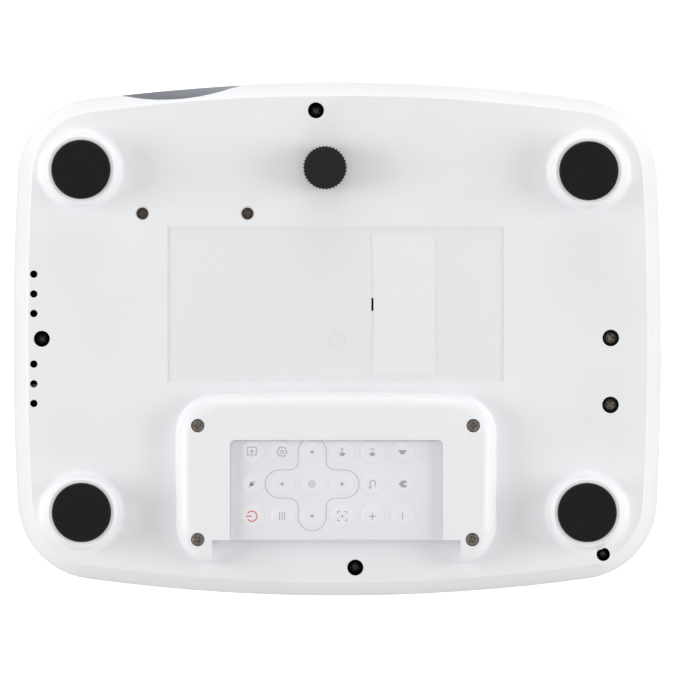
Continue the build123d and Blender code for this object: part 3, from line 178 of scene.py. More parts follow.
def blended(tree, share, first, second):
    """A colour between two, by a share."""
    mix = add(tree, "ShaderNodeMix", {0: share, 6: first, 7: second}, data_type="RGBA")
    return mix.outputs[2]


def bumped(tree, height, depth_mm, normal=None):
    """A normal from a height that reaches a depth in millimetres."""
    links = {"Height": height, "Strength": 1.0, "Distance": depth_mm * MM}
    if normal is not None:
        links["Normal"] = normal
    return add(tree, "ShaderNodeBump", links).outputs["Normal"]


def surface(tree, out, links):
    """A Principled surface with its inputs."""
    shader = add(tree, "ShaderNodeBsdfPrincipled", links)
    tree.links.new(shader.outputs["BSDF"], out.inputs["Surface"])


def box_mask(tree, x, y, z):
    """One inside a box given in millimetres, nought outside."""
    split = add(tree, "ShaderNodeSeparateXYZ", {"Vector": place_on(tree)})
    shares = []
    for axis, (low, high) in zip("XYZ", (x, y, z)):
        middle, half = (low + high) / 2 * MM, (high - low) / 2 * MM
        shares.append(maths(tree, "COMPARE", split.outputs[axis], middle, half))
    return maths(tree, "MULTIPLY", maths(tree, "MULTIPLY", shares[0], shares[1]), shares[2])


def round_mask(tree, x, y, radius, z):
    """One inside an upright round well given in millimetres, between two heights."""
    place = place_on(tree)
    flat = vectors(tree, "MULTIPLY", place, (1.0, 1.0, 0.0))
    away = vectors(tree, "DISTANCE", flat, (x * MM, y * MM, 0.0), "Value")
    height = add(tree, "ShaderNodeSeparateXYZ", {"Vector": place}).outputs["Z"]
    level = maths(tree, "COMPARE", height, (z[0] + z[1]) / 2 * MM, (z[1] - z[0]) / 2 * MM)
    return maths(tree, "MULTIPLY", maths(tree, "LESS_THAN", away, radius * MM), level)


def recess_mask(tree):
    """One on the wall of the round recess that the lens stands in, nought outside it."""
    place = place_on(tree)
    centre = (LENS_AXIS[0] * MM, 0.0, LENS_AXIS[1] * MM)
    flat = vectors(tree, "MULTIPLY", place, (1.0, 0.0, 1.0))
    along = add(tree, "ShaderNodeSeparateXYZ", {"Vector": place}).outputs["Y"]
    links = {"Value": along, "From Min": FLARE_Y[0] * MM, "From Max": FLARE_Y[1] * MM,
             "To Min": FLARE_RADIUS[0] * MM, "To Max": FLARE_RADIUS[1] * MM}
    reach = add(tree, "ShaderNodeMapRange", links).outputs["Result"]
    inside = maths(tree, "LESS_THAN", vectors(tree, "DISTANCE", flat, centre, "Value"), reach)
    front = maths(tree, "LESS_THAN", along, RECESS_START_Y * MM)
    normal = add(tree, "ShaderNodeNewGeometry").outputs["Normal"]
    lean = vectors(tree, "DOT_PRODUCT", vectors(tree, "SUBTRACT", flat, centre), normal, "Value")
    inward = maths(tree, "LESS_THAN", lean, 0.0)
    return maths(tree, "MULTIPLY", maths(tree, "MULTIPLY", inside, front), inward)


# ---------------------------------------------------------------- materials
def moulded_abs(name, colour, rough, grain_mm, depth_mm, sheen=0.5):
    """ABS from a spark-eroded mould: a fine even grain that keeps its shine soft and broad."""
    made, tree, out = blank(name)
    cloud = noise(tree, 26.0)
    grain = noise(tree, grain_mm, 3.0)
    surface(tree, out, {
        "Base Color": blended(tree, spread(tree, cloud, 0.0, 1.0), colour, opaque(colour, 0.965)),
        "Roughness": spread(tree, grain, rough - 0.05, rough + 0.05),
        "IOR": 1.53,
        "Specular IOR Level": sheen,
        "Normal": bumped(tree, grain, depth_mm),
    })
    return made


def housing_abs(looks):
    """White ABS of the housing: matte grain, a smoother bed for the label, painted shade on the walls of the
    deep wells, and a grey lens recess.
    """
    made, tree, out = blank("housing_satin_abs")
    cloud = noise(tree, 30.0)
    share = spread(tree, cloud, 0.0, 1.0)
    colour = blended(tree, share, opaque(looks.housing), opaque(looks.housing, 0.975))
    bed = box_mask(tree, *LABEL, (FLOOR_Z + 0.2, FLOOR_Z + 0.6))
    colour = blended(tree, bed, colour, opaque(looks.housing, 0.955))
    # Painted shade: the walls of the deep screw wells are coloured near black to stand in for the shade that
    # falls inside them.
    deep = [(x, y, radius + 0.15) for x, y, radius in WELLS] + [(x, y, 3.05) for x, y in BRACKET_WELLS]
    for x, y, radius in deep:
        mask = round_mask(tree, x, y, radius, (FLOOR_Z + 0.8, WELL_TOP_Z))
        colour = blended(tree, mask, colour, srgb("#2A2A2B"))
    colour = blended(tree, recess_mask(tree), colour, opaque(looks.recess))
    grain = noise(tree, looks.grain / MM, 3.0)
    rough = spread(tree, grain, 0.36, 0.46)
    surface(tree, out, {
        "Base Color": colour,
        "Roughness": maths(tree, "SUBTRACT", rough, maths(tree, "MULTIPLY", bed, 0.10)),
        "IOR": 1.53,
        "Normal": bumped(tree, grain, 0.004),
    })
    return made


def moulded_rubber(looks):
    """Compression-moulded rubber: near black, dull, with a faint pale bloom in soft specks."""
    made, tree, out = blank("feet_moulded_rubber")
    bloom = noise(tree, 1.2, 5.0)
    grain = noise(tree, 0.35, 3.0)
    share = spread(tree, bloom, 0.0, 1.0, 0.5, 0.85)
    surface(tree, out, {
        "Base Color": blended(tree, share, opaque(looks.rubber), srgb("#1C1C20")),
        "Roughness": spread(tree, grain, 0.62, 0.78),
        "IOR": 1.52,
        "Specular IOR Level": 0.22,
        "Normal": bumped(tree, grain, 0.015),
    })
    return made


def turned_metal(name, colour, rough, pitch_mm, wear):
    """Metal cut on a lathe: fine rings round its axis, and dull patches where it was handled."""
    made, tree, out = blank(name)
    links = {"Vector": place_on(tree), "Scale": 0.05 / (pitch_mm * MM), "Distortion": 0.6}
    rings = add(tree, "ShaderNodeTexWave", links, bands_direction="Z")
    patches = noise(tree, 1.8, 4.0)
    surface(tree, out, {
        "Base Color": blended(tree, spread(tree, patches, 0.0, 1.0), colour, opaque(colour, wear)),
        "Metallic": 1.0,
        "Roughness": spread(tree, patches, rough - 0.06, rough + 0.10),
        "Normal": bumped(tree, rings.outputs["Fac"], 0.01),
    })
    return made


def rolled_steel(name, colour, rough):
    """Zinc-coated sheet steel: long faint rolling lines and a soft spangle."""
    made, tree, out = blank(name)
    lines = noise(tree, 0.6, 3.0, (0.04, 1.0, 1.0))
    spangle = add(tree, "ShaderNodeTexVoronoi", {"Vector": place_on(tree), "Scale": 1.0 / (5.0 * MM)})
    share = spread(tree, spangle.outputs["Distance"], 0.0, 1.0, 0.1, 0.8)
    surface(tree, out, {
        "Base Color": blended(tree, share, colour, opaque(colour, 0.86)),
        "Metallic": 1.0,
        "Roughness": spread(tree, lines, rough - 0.05, rough + 0.08),
        "Normal": bumped(tree, lines, 0.006),
    })
    return made


def coated_paper(looks):
    """A blank coated-paper sticker: faint fibres under a thin even coat."""
    made, tree, out = blank("sticker_coated_paper")
    fibre = noise(tree, 0.5, 5.0, (1.0, 0.3, 1.0))
    surface(tree, out, {
        "Base Color": blended(tree, spread(tree, fibre, 0.0, 1.0), opaque(looks.sticker), srgb("#EFF0F2")),
        "Roughness": 0.34,
        "IOR": 1.48,
        "Normal": bumped(tree, fibre, 0.001),
    })
    return made


def embossed_film(looks):
    """Polyester film printed on its back: smooth, a little clear over its pale grey print."""
    made, tree, out = blank("remote_embossed_film")
    orange_peel = noise(tree, 0.9, 2.0)
    cloud = noise(tree, 18.0)
    share = spread(tree, cloud, 0.0, 1.0)
    surface(tree, out, {
        "Base Color": blended(tree, share, opaque(looks.film), opaque(looks.film, 0.97)),
        "Roughness": spread(tree, orange_peel, 0.29, 0.33),
        "IOR": 1.58,
        "Coat Weight": 0.25,
        "Normal": bumped(tree, orange_peel, 0.001),
    })
    return made


def printed_ink(name, colour):
    """Screen-printed ink: flat and dull, thin enough for faint pinholes."""
    made, tree, out = blank(name)
    holes = noise(tree, 0.25, 2.0)
    pale = tuple(min(1.0, c * 1.25) for c in colour[:3]) + (1.0,)
    surface(tree, out, {
        "Base Color": blended(tree, spread(tree, holes, 0.0, 1.0, 0.5, 0.8), colour, pale),
        "Roughness": 0.5,
        "IOR": 1.5,
    })
    return made


def optical_glass(name, colour, coat):
    """Ground and polished glass with a thin coating that tints its shine."""
    made, tree, out = blank(name)
    edge = add(tree, "ShaderNodeLayerWeight", {"Blend": 0.35}).outputs["Facing"]
    surface(tree, out, {
        "Base Color": blended(tree, edge, colour, coat),
        "Roughness": 0.02,
        "IOR": 1.52,
        "Transmission Weight": 0.75,
        "Specular Tint": coat,
        "Coat Weight": 0.6,
    })
    return made


def solder_mask():
    """Green solder mask over copper: lighter where tracks run beneath, a little uneven."""
    made, tree, out = blank("board_solder_mask")
    tracks = add(tree, "ShaderNodeTexBrick", {
        "Vector": place_on(tree), "Scale": 1.0 / (6.0 * MM), "Mortar Size": 0.06,
        "Color1": srgb("#0C4A27"), "Color2": srgb("#0F5630"), "Mortar": srgb("#1E7442")})
    surface(tree, out, {
        "Base Color": tracks.outputs["Color"],
        "Roughness": 0.35,
        "IOR": 1.5,
        "Normal": bumped(tree, tracks.outputs["Fac"], 0.03),
    })
    return made


def matte_stage(name, colour, glow):
    """A pale sheet that glows a little and shows only its front."""
    made, tree, out = blank(name)
    flat = add(tree, "ShaderNodeBsdfDiffuse", {"Color": colour})
    light = add(tree, "ShaderNodeEmission", {"Color": colour, "Strength": glow})
    face = add(tree, "ShaderNodeAddShader", {0: flat.outputs[0], 1: light.outputs[0]})
    clear = add(tree, "ShaderNodeBsdfTransparent")
    back = add(tree, "ShaderNodeNewGeometry").outputs["Backfacing"]
    mix = add(tree, "ShaderNodeMixShader", {0: back, 1: face.outputs[0], 2: clear.outputs[0]})
    tree.links.new(mix.outputs[0], out.inputs["Surface"])
    return made


def materials(looks):
    """Every finish of the object by the record's slot name."""
    steel = rolled_steel("drive_zinc_coated_steel", srgb("#B9BABC"), 0.38)
    return {
        "housing_white": housing_abs(looks),
        "trim_grey": moulded_abs("lens_trim_polished_abs", opaque(looks.trim), 0.24, 0.9, 0.004),
        "window_black": moulded_abs("window_smoked_acrylic", srgb("#0B0B0D"), 0.10, 1.2, 0.002),
        "rubber_black": moulded_rubber(looks),
        "knob_black": moulded_abs("knob_moulded_nylon", opaque(looks.knob), 0.60, 0.3, 0.01, sheen=0.3),
        "brass": turned_metal("inserts_turned_brass", srgb("#8A6B45"), 0.34, 0.5, 0.6),
        "screw_steel": turned_metal("screws_nickel_steel", srgb("#9C948A"), 0.32, 0.3, 0.62),
        "sticker": coated_paper(looks),
        "remote_body": moulded_abs("remote_satin_abs", opaque(looks.remote), 0.36, 0.4, 0.008),
        "remote_film": embossed_film(looks),
        "cell_steel": turned_metal("cell_plated_steel", srgb("#C9C9CB"), 0.2, 0.4, 0.9),
        "lens_black": moulded_abs("lens_glass_filled_nylon", srgb("#151517"), 0.46, 0.25, 0.015),
        "glass": optical_glass("lens_coated_glass", srgb("#E6EEF4"), srgb("#7F8FD0")),
        "inner_black": moulded_abs("inner_black_abs", srgb("#17171A"), 0.5, 0.3, 0.015),
        "lcd": optical_glass("panel_glass", srgb("#3A4048"), srgb("#5A6472")),
        "aluminium": rolled_steel("heat_sink_extruded_aluminium", srgb("#C6C7CA"), 0.34),
        "sheet_steel": steel,
        "rod_steel": turned_metal("rods_ground_steel", srgb("#C4C4C6"), 0.12, 0.2, 0.95),
        "tray_black": moulded_abs("tray_black_abs", srgb("#1A1A1D"), 0.42, 0.35, 0.012),
        "circuit_board": solder_mask(),
        "socket_metal": rolled_steel("sockets_tinned_steel", srgb("#A9AAAD"), 0.3),
        "ink_grey": printed_ink("print_grey_ink", opaque(looks.ink)),
        "ink_red": printed_ink("print_red_ink", opaque(looks.power_ink)),
    }


FINISHES = {}


# ---------------------------------------------------------------- mesh helpers
def mesh_of(name, work):
    """A mesh from a bmesh, with the bmesh freed."""
    mesh = bpy.data.meshes.new(name)
    work.to_mesh(mesh)
    work.free()
    return mesh


def seat(name, mesh, slot, body, replaces=()):
    """A finished piece: its finish, the body it rides on and the nodes it stands for."""
    piece = bpy.data.objects.new(name, mesh)
    bpy.context.scene.collection.objects.link(piece)
    mesh.materials.clear()
    mesh.materials.append(FINISHES[slot])
    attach(piece, body)
    if replaces:
        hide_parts(*replaces)
    return piece


def smooth(mesh, angle):
    """Round shading, kept sharp at edges that turn by more than an angle in degrees."""
    mesh.shade_smooth()
    mesh.set_sharp_from_angle(angle=radians(angle))


def weld(node, angle=32.0):
    """A CAD node's mesh with its corners merged, so that its bands shade as one round surface."""
    work = bmesh.new()
    work.from_mesh(NODES[node].data)
    bmesh.ops.remove_doubles(work, verts=work.verts, dist=0.002 * MM)
    bmesh.ops.dissolve_degenerate(work, edges=work.edges, dist=0.001 * MM)
    plain = bpy.data.meshes.new(node)
    verts = [v.co.copy() for v in work.verts]
    work.verts.index_update()
    faces = [[v.index for v in f.verts] for f in work.faces]
    work.free()
    plain.from_pydata(verts, [], faces)
    plain.update()
    smooth(plain, angle)
    piece = seat(node + "_skin", plain, SLOT_OF[node], BODY_OF[node], (node,))
    even = piece.modifiers.new("Even shading", "WEIGHTED_NORMAL")
    even.keep_sharp = True
    even.weight = 60
    return piece


def dress(node):
    """A CAD node that is right as it is, in its finish."""
    mesh = NODES[node].data
    mesh.materials.clear()
    mesh.materials.append(FINISHES[SLOT_OF[node]])


def lathe(outline, steps=64, closed=True, teeth=0):
    """A turned form about Z from (radius, height) points; a third value is how deep its teeth are there."""
    work = bmesh.new()
    rings = []
    for point in outline:
        radius, height = point[0], point[1]
        depth = point[2] if len(point) > 2 else 0.0
        if radius == 0.0:
            rings.append([work.verts.new((0.0, 0.0, height))] * steps)
            continue
        ring = []
        for n in range(steps):
            turn = 2 * pi * n / steps
            cut = depth * (0.5 - 0.5 * cos(teeth * turn)) ** 0.6 if teeth else 0.0
            ring.append(work.verts.new(((radius - cut) * cos(turn), (radius - cut) * sin(turn), height)))
        rings.append(ring)
    pairs = list(zip(rings, rings[1:]))
    if closed:
        pairs.append((rings[-1], rings[0]))
    for first, second in pairs:
        for n in range(steps):
            m = (n + 1) % steps
            corners = []
            for vert in (first[n], first[m], second[m], second[n]):
                if vert not in corners:
                    corners.append(vert)
            if len(corners) > 2:
                work.faces.new(corners)
    bmesh.ops.recalc_face_normals(work, faces=work.faces)
    return work


def scatter(name, unit, places, slot, body, replaces=(), turn=0.0):
    """Copies of a unit mesh at places in millimetres, set out by Geometry Nodes and made one mesh."""
    points = bpy.data.meshes.new(name + "_places")
    points.from_pydata([tuple(v * MM for v in place) for place in places], [], [])
    carrier = bpy.data.objects.new(name + "_carrier", points)
    model = bpy.data.objects.new(name + "_unit", unit)
    for helper in (carrier, model):
        bpy.context.scene.collection.objects.link(helper)
    tree = bpy.data.node_groups.new(name + "_layout", "GeometryNodeTree")
    values = {"Unit": ("Object", model), "Turn of each": ("Float", turn), "Seed": ("Int", 3),
              "Finish": ("Material", FINISHES[slot])}
    tree.interface.new_socket("Places", in_out="INPUT", socket_type="NodeSocketGeometry")
    sockets = {label: tree.interface.new_socket(label, in_out="INPUT", socket_type="NodeSocket" + kind)
               for label, (kind, value) in values.items()}
    tree.interface.new_socket("Pieces", in_out="OUTPUT", socket_type="NodeSocketGeometry")
    given = add(tree, "NodeGroupInput")
    copy = add(tree, "GeometryNodeObjectInfo", {"Object": given.outputs["Unit"]})
    reach = {"Min": (0.0, 0.0, -1.0), "Max": (0.0, 0.0, 1.0), "Seed": given.outputs["Seed"]}
    draw = add(tree, "FunctionNodeRandomValue", reach, data_type="FLOAT_VECTOR")
    spin = add(tree, "ShaderNodeVectorMath", {0: draw.outputs["Value"]}, operation="SCALE")
    tree.links.new(given.outputs["Turn of each"], spin.inputs["Scale"])
    lay = add(tree, "GeometryNodeInstanceOnPoints", {
        "Points": given.outputs["Places"], "Instance": copy.outputs["Geometry"],
        "Rotation": spin.outputs["Vector"]})
    solid = add(tree, "GeometryNodeRealizeInstances", {"Geometry": lay.outputs["Instances"]})
    painted = add(tree, "GeometryNodeSetMaterial", {
        "Geometry": solid.outputs["Geometry"], "Material": given.outputs["Finish"]})
    add(tree, "NodeGroupOutput", {"Pieces": painted.outputs["Geometry"]})
    modifier = carrier.modifiers.new("Layout", "NODES")
    modifier.node_group = tree
    for label, (kind, value) in values.items():
        modifier[sockets[label].identifier] = value
    bpy.context.view_layer.update()
    evaluated = carrier.evaluated_get(bpy.context.evaluated_depsgraph_get())
    mesh = bpy.data.meshes.new_from_object(evaluated)
    mesh.name = name
    for helper in (carrier, model):
        bpy.data.objects.remove(helper)
    return seat(name, mesh, slot, body, replaces)


def joined(name, pieces):
    """Several pieces of one body made one mesh, under the first piece's facts."""
    first = pieces[0]
    work = bmesh.new()
    for piece in pieces:
        work.from_mesh(piece.data)
    mesh = mesh_of(name, work)
    mesh.materials.append(first.data.materials[0])
    for piece in pieces[1:]:
        bpy.data.objects.remove(piece)
    first.data = mesh
    first.name = name
    return first


# ---------------------------------------------------------------- flat drawing, for the keys' printed signs
def arc(centre, radius, start, end, steps):
    """Points on an arc, with angles in degrees."""
    turns = [radians(start + (end - start) * n / steps) for n in range(steps + 1)]
    return [(centre[0] + radius * cos(t), centre[1] + radius * sin(t)) for t in turns]


def line(points, width, closed=False):
    """A ribbon of one width along points, as four-cornered faces with mitred joints."""
    count = len(points)
    sides = []
    for n, point in enumerate(points):
        before = points[n - 1] if closed or n > 0 else point
        after = points[(n + 1) % count] if closed or n < count - 1 else point
        into = Vector(point) - Vector(before)
        out = Vector(after) - Vector(point)
        into = into.normalized() if into.length else out.normalized()
        out = out.normalized() if out.length else into
        way = (into + out).normalized()
        across = Vector((-way.y, way.x)) * (width / 2 / max(0.5, way.dot(into)))
        sides.append((Vector(point) + across, Vector(point) - across))
    faces = []
    last = count if closed else count - 1
    for n in range(last):
        a, b = sides[n], sides[(n + 1) % count]
        faces.append([a[0], b[0], b[1], a[1]])
    return faces


def printed(name, shapes, height, slot, body, up=False, thickness=0.02):
    """Flat shapes in millimetres as a thin layer of ink at a height, seen from above where up is true."""
    work = bmesh.new()
    for shape in shapes:
        corners = [work.verts.new((x * MM, y * MM, height * MM)) for x, y in shape]
        work.faces.new(corners)
    bmesh.ops.remove_doubles(work, verts=work.verts, dist=0.001 * MM)
    bmesh.ops.triangulate(work, faces=[f for f in work.faces if len(f.verts) > 4])
    for face in work.faces:
        face.normal_update()
        if (face.normal.z > 0) != up:
            face.normal_flip()
    rise = thickness * MM * (1 if up else -1)
    made = bmesh.ops.extrude_face_region(work, geom=list(work.faces))
    for vert in (v for v in made["geom"] if isinstance(v, bmesh.types.BMVert)):
        vert.co.z += rise
    bmesh.ops.recalc_face_normals(work, faces=work.faces)
    return seat(name, mesh_of(name, work), slot, body)


def moved(shapes, dx, dy, turn=0.0):
    """Shapes turned about their own origin in degrees, then moved."""
    c, s = cos(radians(turn)), sin(radians(turn))
    out = []
    for shape in shapes:
        out.append([(dx + (x * c - y * s), dy + (x * s + y * c)) for x, y in shape])
    return out


def triangle(size):
    """A filled triangle that points along +X."""
    return [[(size, 0.0), (-0.6 * size, 0.85 * size), (-0.6 * size, -0.85 * size)]]


# ---------------------------------------------------------------- settings
def colour_setting(name, description, code):
    """A colour that a user can change."""
    return FloatVectorProperty(name=name, description=description, subtype="COLOR", default=srgb(code)[:3])


def length_setting(name, description, length, least=0.0):
    """A length in millimetres, and its least value, that a user can change."""
    return FloatProperty(name=name, description=description, unit="LENGTH", default=length * MM,
                         min=least * MM)


class ProjectorLooks(bpy.types.PropertyGroup):
    """Colours and fine sizes that a user would change."""

    housing: colour_setting("Housing", "White of the moulded housing", "#F3F4F6")
    trim: colour_setting("Lens trim", "Grey of the trim round the lens", "#A9ADB6")
    recess: colour_setting("Lens recess", "Grey of the wall round the lens", "#9DA0A8")
    rubber: colour_setting("Rubber", "Black of the rubber feet", "#0E0E11")
    knob: colour_setting("Knob", "Dark grey of the adjustable foot", "#141518")
    sticker: colour_setting("Sticker", "White of the blank sticker", "#F2F3F5")
    remote: colour_setting("Remote", "White of the remote's case", "#ECEDF0")
    film: colour_setting("Key film", "Pale grey of the remote's key film", "#F0F1F5")
    ink: colour_setting("Ink", "Grey of the printed signs", "#A9AAAE")
    power_ink: colour_setting("Power ink", "Red of the power sign", "#D9503F")
    grain: length_setting("Mould grain", "Size of the housing's grain", 0.45, 0.05)
    bubble: length_setting("Key height", "How far the remote's keys stand out", 0.42)
    thread: length_setting("Thread pitch", "Pitch of the inserts' thread", 0.5, 0.2)
    knurls: IntProperty(name="Knob ribs", description="Ribs round the adjustable foot", default=38, min=8)


class ProjectorStage(bpy.types.PropertyGroup):
    """The camera's distance and the lamps' strength."""

    distance: length_setting("Camera distance", "From the lens to the underside", 9000.0)
    pixel: length_setting("Size of a pixel", "Width on the underside of one of 680 pixels", 0.348)
    key_power: FloatProperty(name="Key lamps", description="Power of the left soft lamp", default=8.2)
    sky: FloatProperty(name="Surround", description="Brightness of the white surround", default=0.55)
    backing_glow: FloatProperty(name="Backing glow", description="Light of the backing sheet", default=0.55)
    floor_glow: FloatProperty(name="Floor glow", description="Light of the floor", default=0.15)


# ---------------------------------------------------------------- pieces of the housing
HOUSING = ("bottom_shell", "top_shell", "remote_dock_cover", "tray_bezel", "eject_button", "exhaust_grille")


class PROJECTOR_OT_housing(bpy.types.Operator):
    """Shells, dock cover, tray front and grille, shaded as round moulded surfaces"""

    bl_idname = "projector.housing"
    bl_label = "Housing"

    def execute(self, context):
        for node in HOUSING:
            weld(node)
        weld("lens_bezel", angle=40.0)
        weld("front_ir_window")
        return {"FINISHED"}


class PROJECTOR_OT_feet(bpy.types.Operator):
    """Four rubber feet with a rounded rim"""

    bl_idname = "projector.feet"
    bl_label = "Rubber feet"

    def execute(self, context):
        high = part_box("rubber_feet")[1]
        radius = 10.1 * MM
        rim = 0.55 * MM
        outline = [(0.0, 0.0), (0.55 * radius, 0.0), (radius - 1.6 * MM, 0.0)]
        outline += [(radius - rim + rim * sin(t), rim - rim * cos(t)) for t in (0.0, 0.4, 0.8, 1.2, pi / 2)]
        outline += [(radius, high.z), (0.0, high.z)]
        unit = mesh_of("foot", lathe(outline, 96, closed=False))
        smooth(unit, 40.0)
        places = [(x, y, 0.0) for x, y in FOOT_PLACES]
        scatter("rubber_feet_moulded", unit, places, "rubber_black", "root", ("rubber_feet",), turn=pi)
        return {"FINISHED"}


def screw(sizes, bite):
    """A pan-head screw with its head below z = 0, a cross recess and a thread that bites above."""
    head_radius, head_t, core = (size * MM for size in sizes)
    crown = head_t * 0.35
    outline = [(0.0, -head_t)]
    for n in range(1, 6):
        turn = n / 5 * pi / 2
        outline.append((head_radius * sin(turn), -head_t + crown * (1 - cos(turn))))
    outline += [(head_radius, -0.05 * head_t), (head_radius - 0.08 * MM, 0.0), (core, 0.0)]
    pitch = 0.9 * MM
    z = 0.4 * MM
    while z < bite - pitch:
        outline += [(core, z), (core + 0.3 * MM, z + 0.35 * pitch), (core, z + 0.7 * pitch)]
        z += pitch
    outline += [(core, bite), (0.0, bite)]
    body = bpy.data.objects.new("screw_blank", mesh_of("screw", lathe(outline, 40, closed=False)))
    cut = bmesh.new()
    for turn in (0.0, pi / 2):
        blade = bmesh.ops.create_cube(cut, size=1.0)["verts"]
        for vert in blade:
            deep = vert.co.z > 0
            reach = head_radius * (0.34 if deep else 0.62)
            thin = head_radius * (0.11 if deep else 0.16)
            height = -head_t + (0.62 if deep else -0.3) * head_t
            vert.co = Vector((vert.co.x * 2 * reach, vert.co.y * 2 * thin, height))
        bmesh.ops.rotate(cut, verts=blade, cent=(0, 0, 0), matrix=Matrix.Rotation(turn, 3, "Z"))
    bmesh.ops.recalc_face_normals(cut, faces=cut.faces)
    tool = bpy.data.objects.new("screw_cutter", mesh_of("cutter", cut))
    for helper in (body, tool):
        bpy.context.scene.collection.objects.link(helper)
    carve = body.modifiers.new("Recess", "BOOLEAN")
    carve.operation = "DIFFERENCE"
    carve.use_self = True
    carve.object = tool
    bpy.context.view_layer.update()
    mesh = bpy.data.meshes.new_from_object(body.evaluated_get(bpy.context.evaluated_depsgraph_get()))
    for helper in (body, tool):
        bpy.data.objects.remove(helper)
    smooth(mesh, 30.0)
    return mesh


class PROJECTOR_OT_screws(bpy.types.Operator):
    """Cross-recessed screws in the wells and in the dock cover"""

    bl_idname = "projector.screws"
    bl_label = "Screws"

    def execute(self, context):
        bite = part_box("housing_screws")[1].z - HOUSING_SEAT_Z * MM
        wide = [(x, y, HOUSING_SEAT_Z) for x, y, radius in WELLS if radius > WIDE_WELL_RADIUS]
        slim = [(x, y, HOUSING_SEAT_Z) for x, y, radius in WELLS if radius < WIDE_WELL_RADIUS]
        first = scatter("housing_screws_wide", screw(WIDE_SCREW, bite), wide, "screw_steel",
                        "root", ("housing_screws",), turn=pi)
        second = scatter("housing_screws_slim", screw(SLIM_SCREW, bite), slim, "screw_steel",
                         "root", turn=pi)
        joined("housing_screws_recessed", [first, second])
        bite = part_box("drive_bracket_screws")[1].z - BRACKET_SEAT_Z * MM
        places = [(x, y, BRACKET_SEAT_Z) for x, y in BRACKET_WELLS]
        scatter("drive_bracket_screws_recessed", screw(WIDE_SCREW, bite), places, "screw_steel",
                "root", ("drive_bracket_screws",), turn=pi)
        low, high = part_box("dock_cover_screws")
        seat_z = low.z / MM + DOCK_SCREW[1]
        places = [(x, y, seat_z) for x, y in DOCK_SCREWS]
        bite = high.z - seat_z * MM
        scatter("dock_cover_screws_recessed", screw(DOCK_SCREW, bite), places, "screw_steel",
                "root", ("dock_cover_screws",), turn=pi)
        return {"FINISHED"}


class PROJECTOR_OT_inserts(bpy.types.Operator):
    """Brass inserts with an open thread"""

    bl_idname = "projector.inserts"
    bl_label = "Threaded inserts"

    def execute(self, context):
        low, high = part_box("mounting_inserts")
        length = high.z - low.z
        outer, bore, thread = 2.1 * MM, 1.5 * MM, 0.2 * MM
        pitch = context.scene.projector_looks.thread
        outline = [(outer - thread, 0.0), (outer, thread), (outer, length - thread)]
        outline += [(outer - thread, length), (bore + thread, length)]
        z = length - pitch / 2
        while z > pitch:
            outline += [(bore, z), (bore + thread, z - pitch / 2)]
            z -= pitch
        outline.append((bore + thread, 0.0))
        unit = mesh_of("insert", lathe(outline, 48))
        smooth(unit, 24.0)
        places = [(x, y, low.z / MM) for x, y in INSERTS]
        scatter("mounting_inserts_threaded", unit, places, "brass", "root", ("mounting_inserts",), turn=pi)
        return {"FINISHED"}


class PROJECTOR_OT_adjuster(bpy.types.Operator):
    """The adjustable foot: ribbed knob, threaded stud and brass bush"""

    bl_idname = "projector.adjuster"
    bl_label = "Adjustable foot"

    def execute(self, context):
        low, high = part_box("adjuster_knob")
        tall = high.z - low.z
        radius, rib = 7.75 * MM, 0.55 * MM
        ease = 0.5 * MM
        bore = 3.05 * MM
        shoulder, shallow = radius - rib * 0.6, 0.25 * rib
        floor = 1.85 * MM
        outline = [(0.0, 0.0), (radius * 0.8, 0.0), (radius - rib - ease, 0.0),
                   (shoulder, ease * 0.35, shallow), (radius, ease, rib),
                   (radius, tall - ease, rib), (shoulder, tall - ease * 0.35, shallow),
                   (radius - rib - ease, tall), (bore, tall), (bore, floor), (0.0, floor)]
        ribs = context.scene.projector_looks.knurls
        work = lathe(outline, ribs * 8, closed=False, teeth=ribs)
        bmesh.ops.translate(work, verts=work.verts, vec=(KNOB[0] * MM, KNOB[1] * MM, low.z))
        mesh = mesh_of("adjuster_knob_ribbed", work)
        smooth(mesh, 38.0)
        seat("adjuster_knob_ribbed", mesh, "knob_black", "knob", ("adjuster_knob",))
        weld("adjuster_stud")
        weld("adjuster_insert")
        return {"FINISHED"}


class PROJECTOR_OT_label(bpy.types.Operator):
    """The blank sticker and a plain moulded ring in the label's bed"""

    bl_idname = "projector.label"
    bl_label = "Label"

    def execute(self, context):
        weld("label_sticker")
        bed = (FLOOR_Z + 0.4) * MM
        ring, wire = 2.6 * MM, 0.16 * MM
        outline = [(ring + wire * cos(t), wire * sin(t)) for t in (pi * n / 4 for n in range(8))]
        work = lathe(outline)
        profile = [(0.0, -wire), (0.5 * MM, -wire), (0.7 * MM, 0.0), (0.5 * MM, wire), (0.0, wire)]
        dot = lathe(profile, 24, closed=False)
        disc = mesh_of("ring_middle", dot)
        work.from_mesh(disc)
        bpy.data.meshes.remove(disc)
        bmesh.ops.translate(work, verts=work.verts, vec=(MARK[0] * MM, MARK[1] * MM, bed))
        mesh = mesh_of("label_bed_ring", work)
        smooth(mesh, 60.0)
        seat("label_bed_ring", mesh, "housing_white", "root")
        return {"FINISHED"}


# ---------------------------------------------------------------- remote control
def rounded_rectangle(x, y, corner, steps=8):
    """Points round a rectangle with round corners."""
    points = []
    for cx, cy, start in ((x[1] - corner, y[1] - corner, 0), (x[0] + corner, y[1] - corner, 90),
                          (x[0] + corner, y[0] + corner, 180), (x[1] - corner, y[0] + corner, 270)):
        points += arc((cx, cy), corner, start, start + 90, steps)
    return points


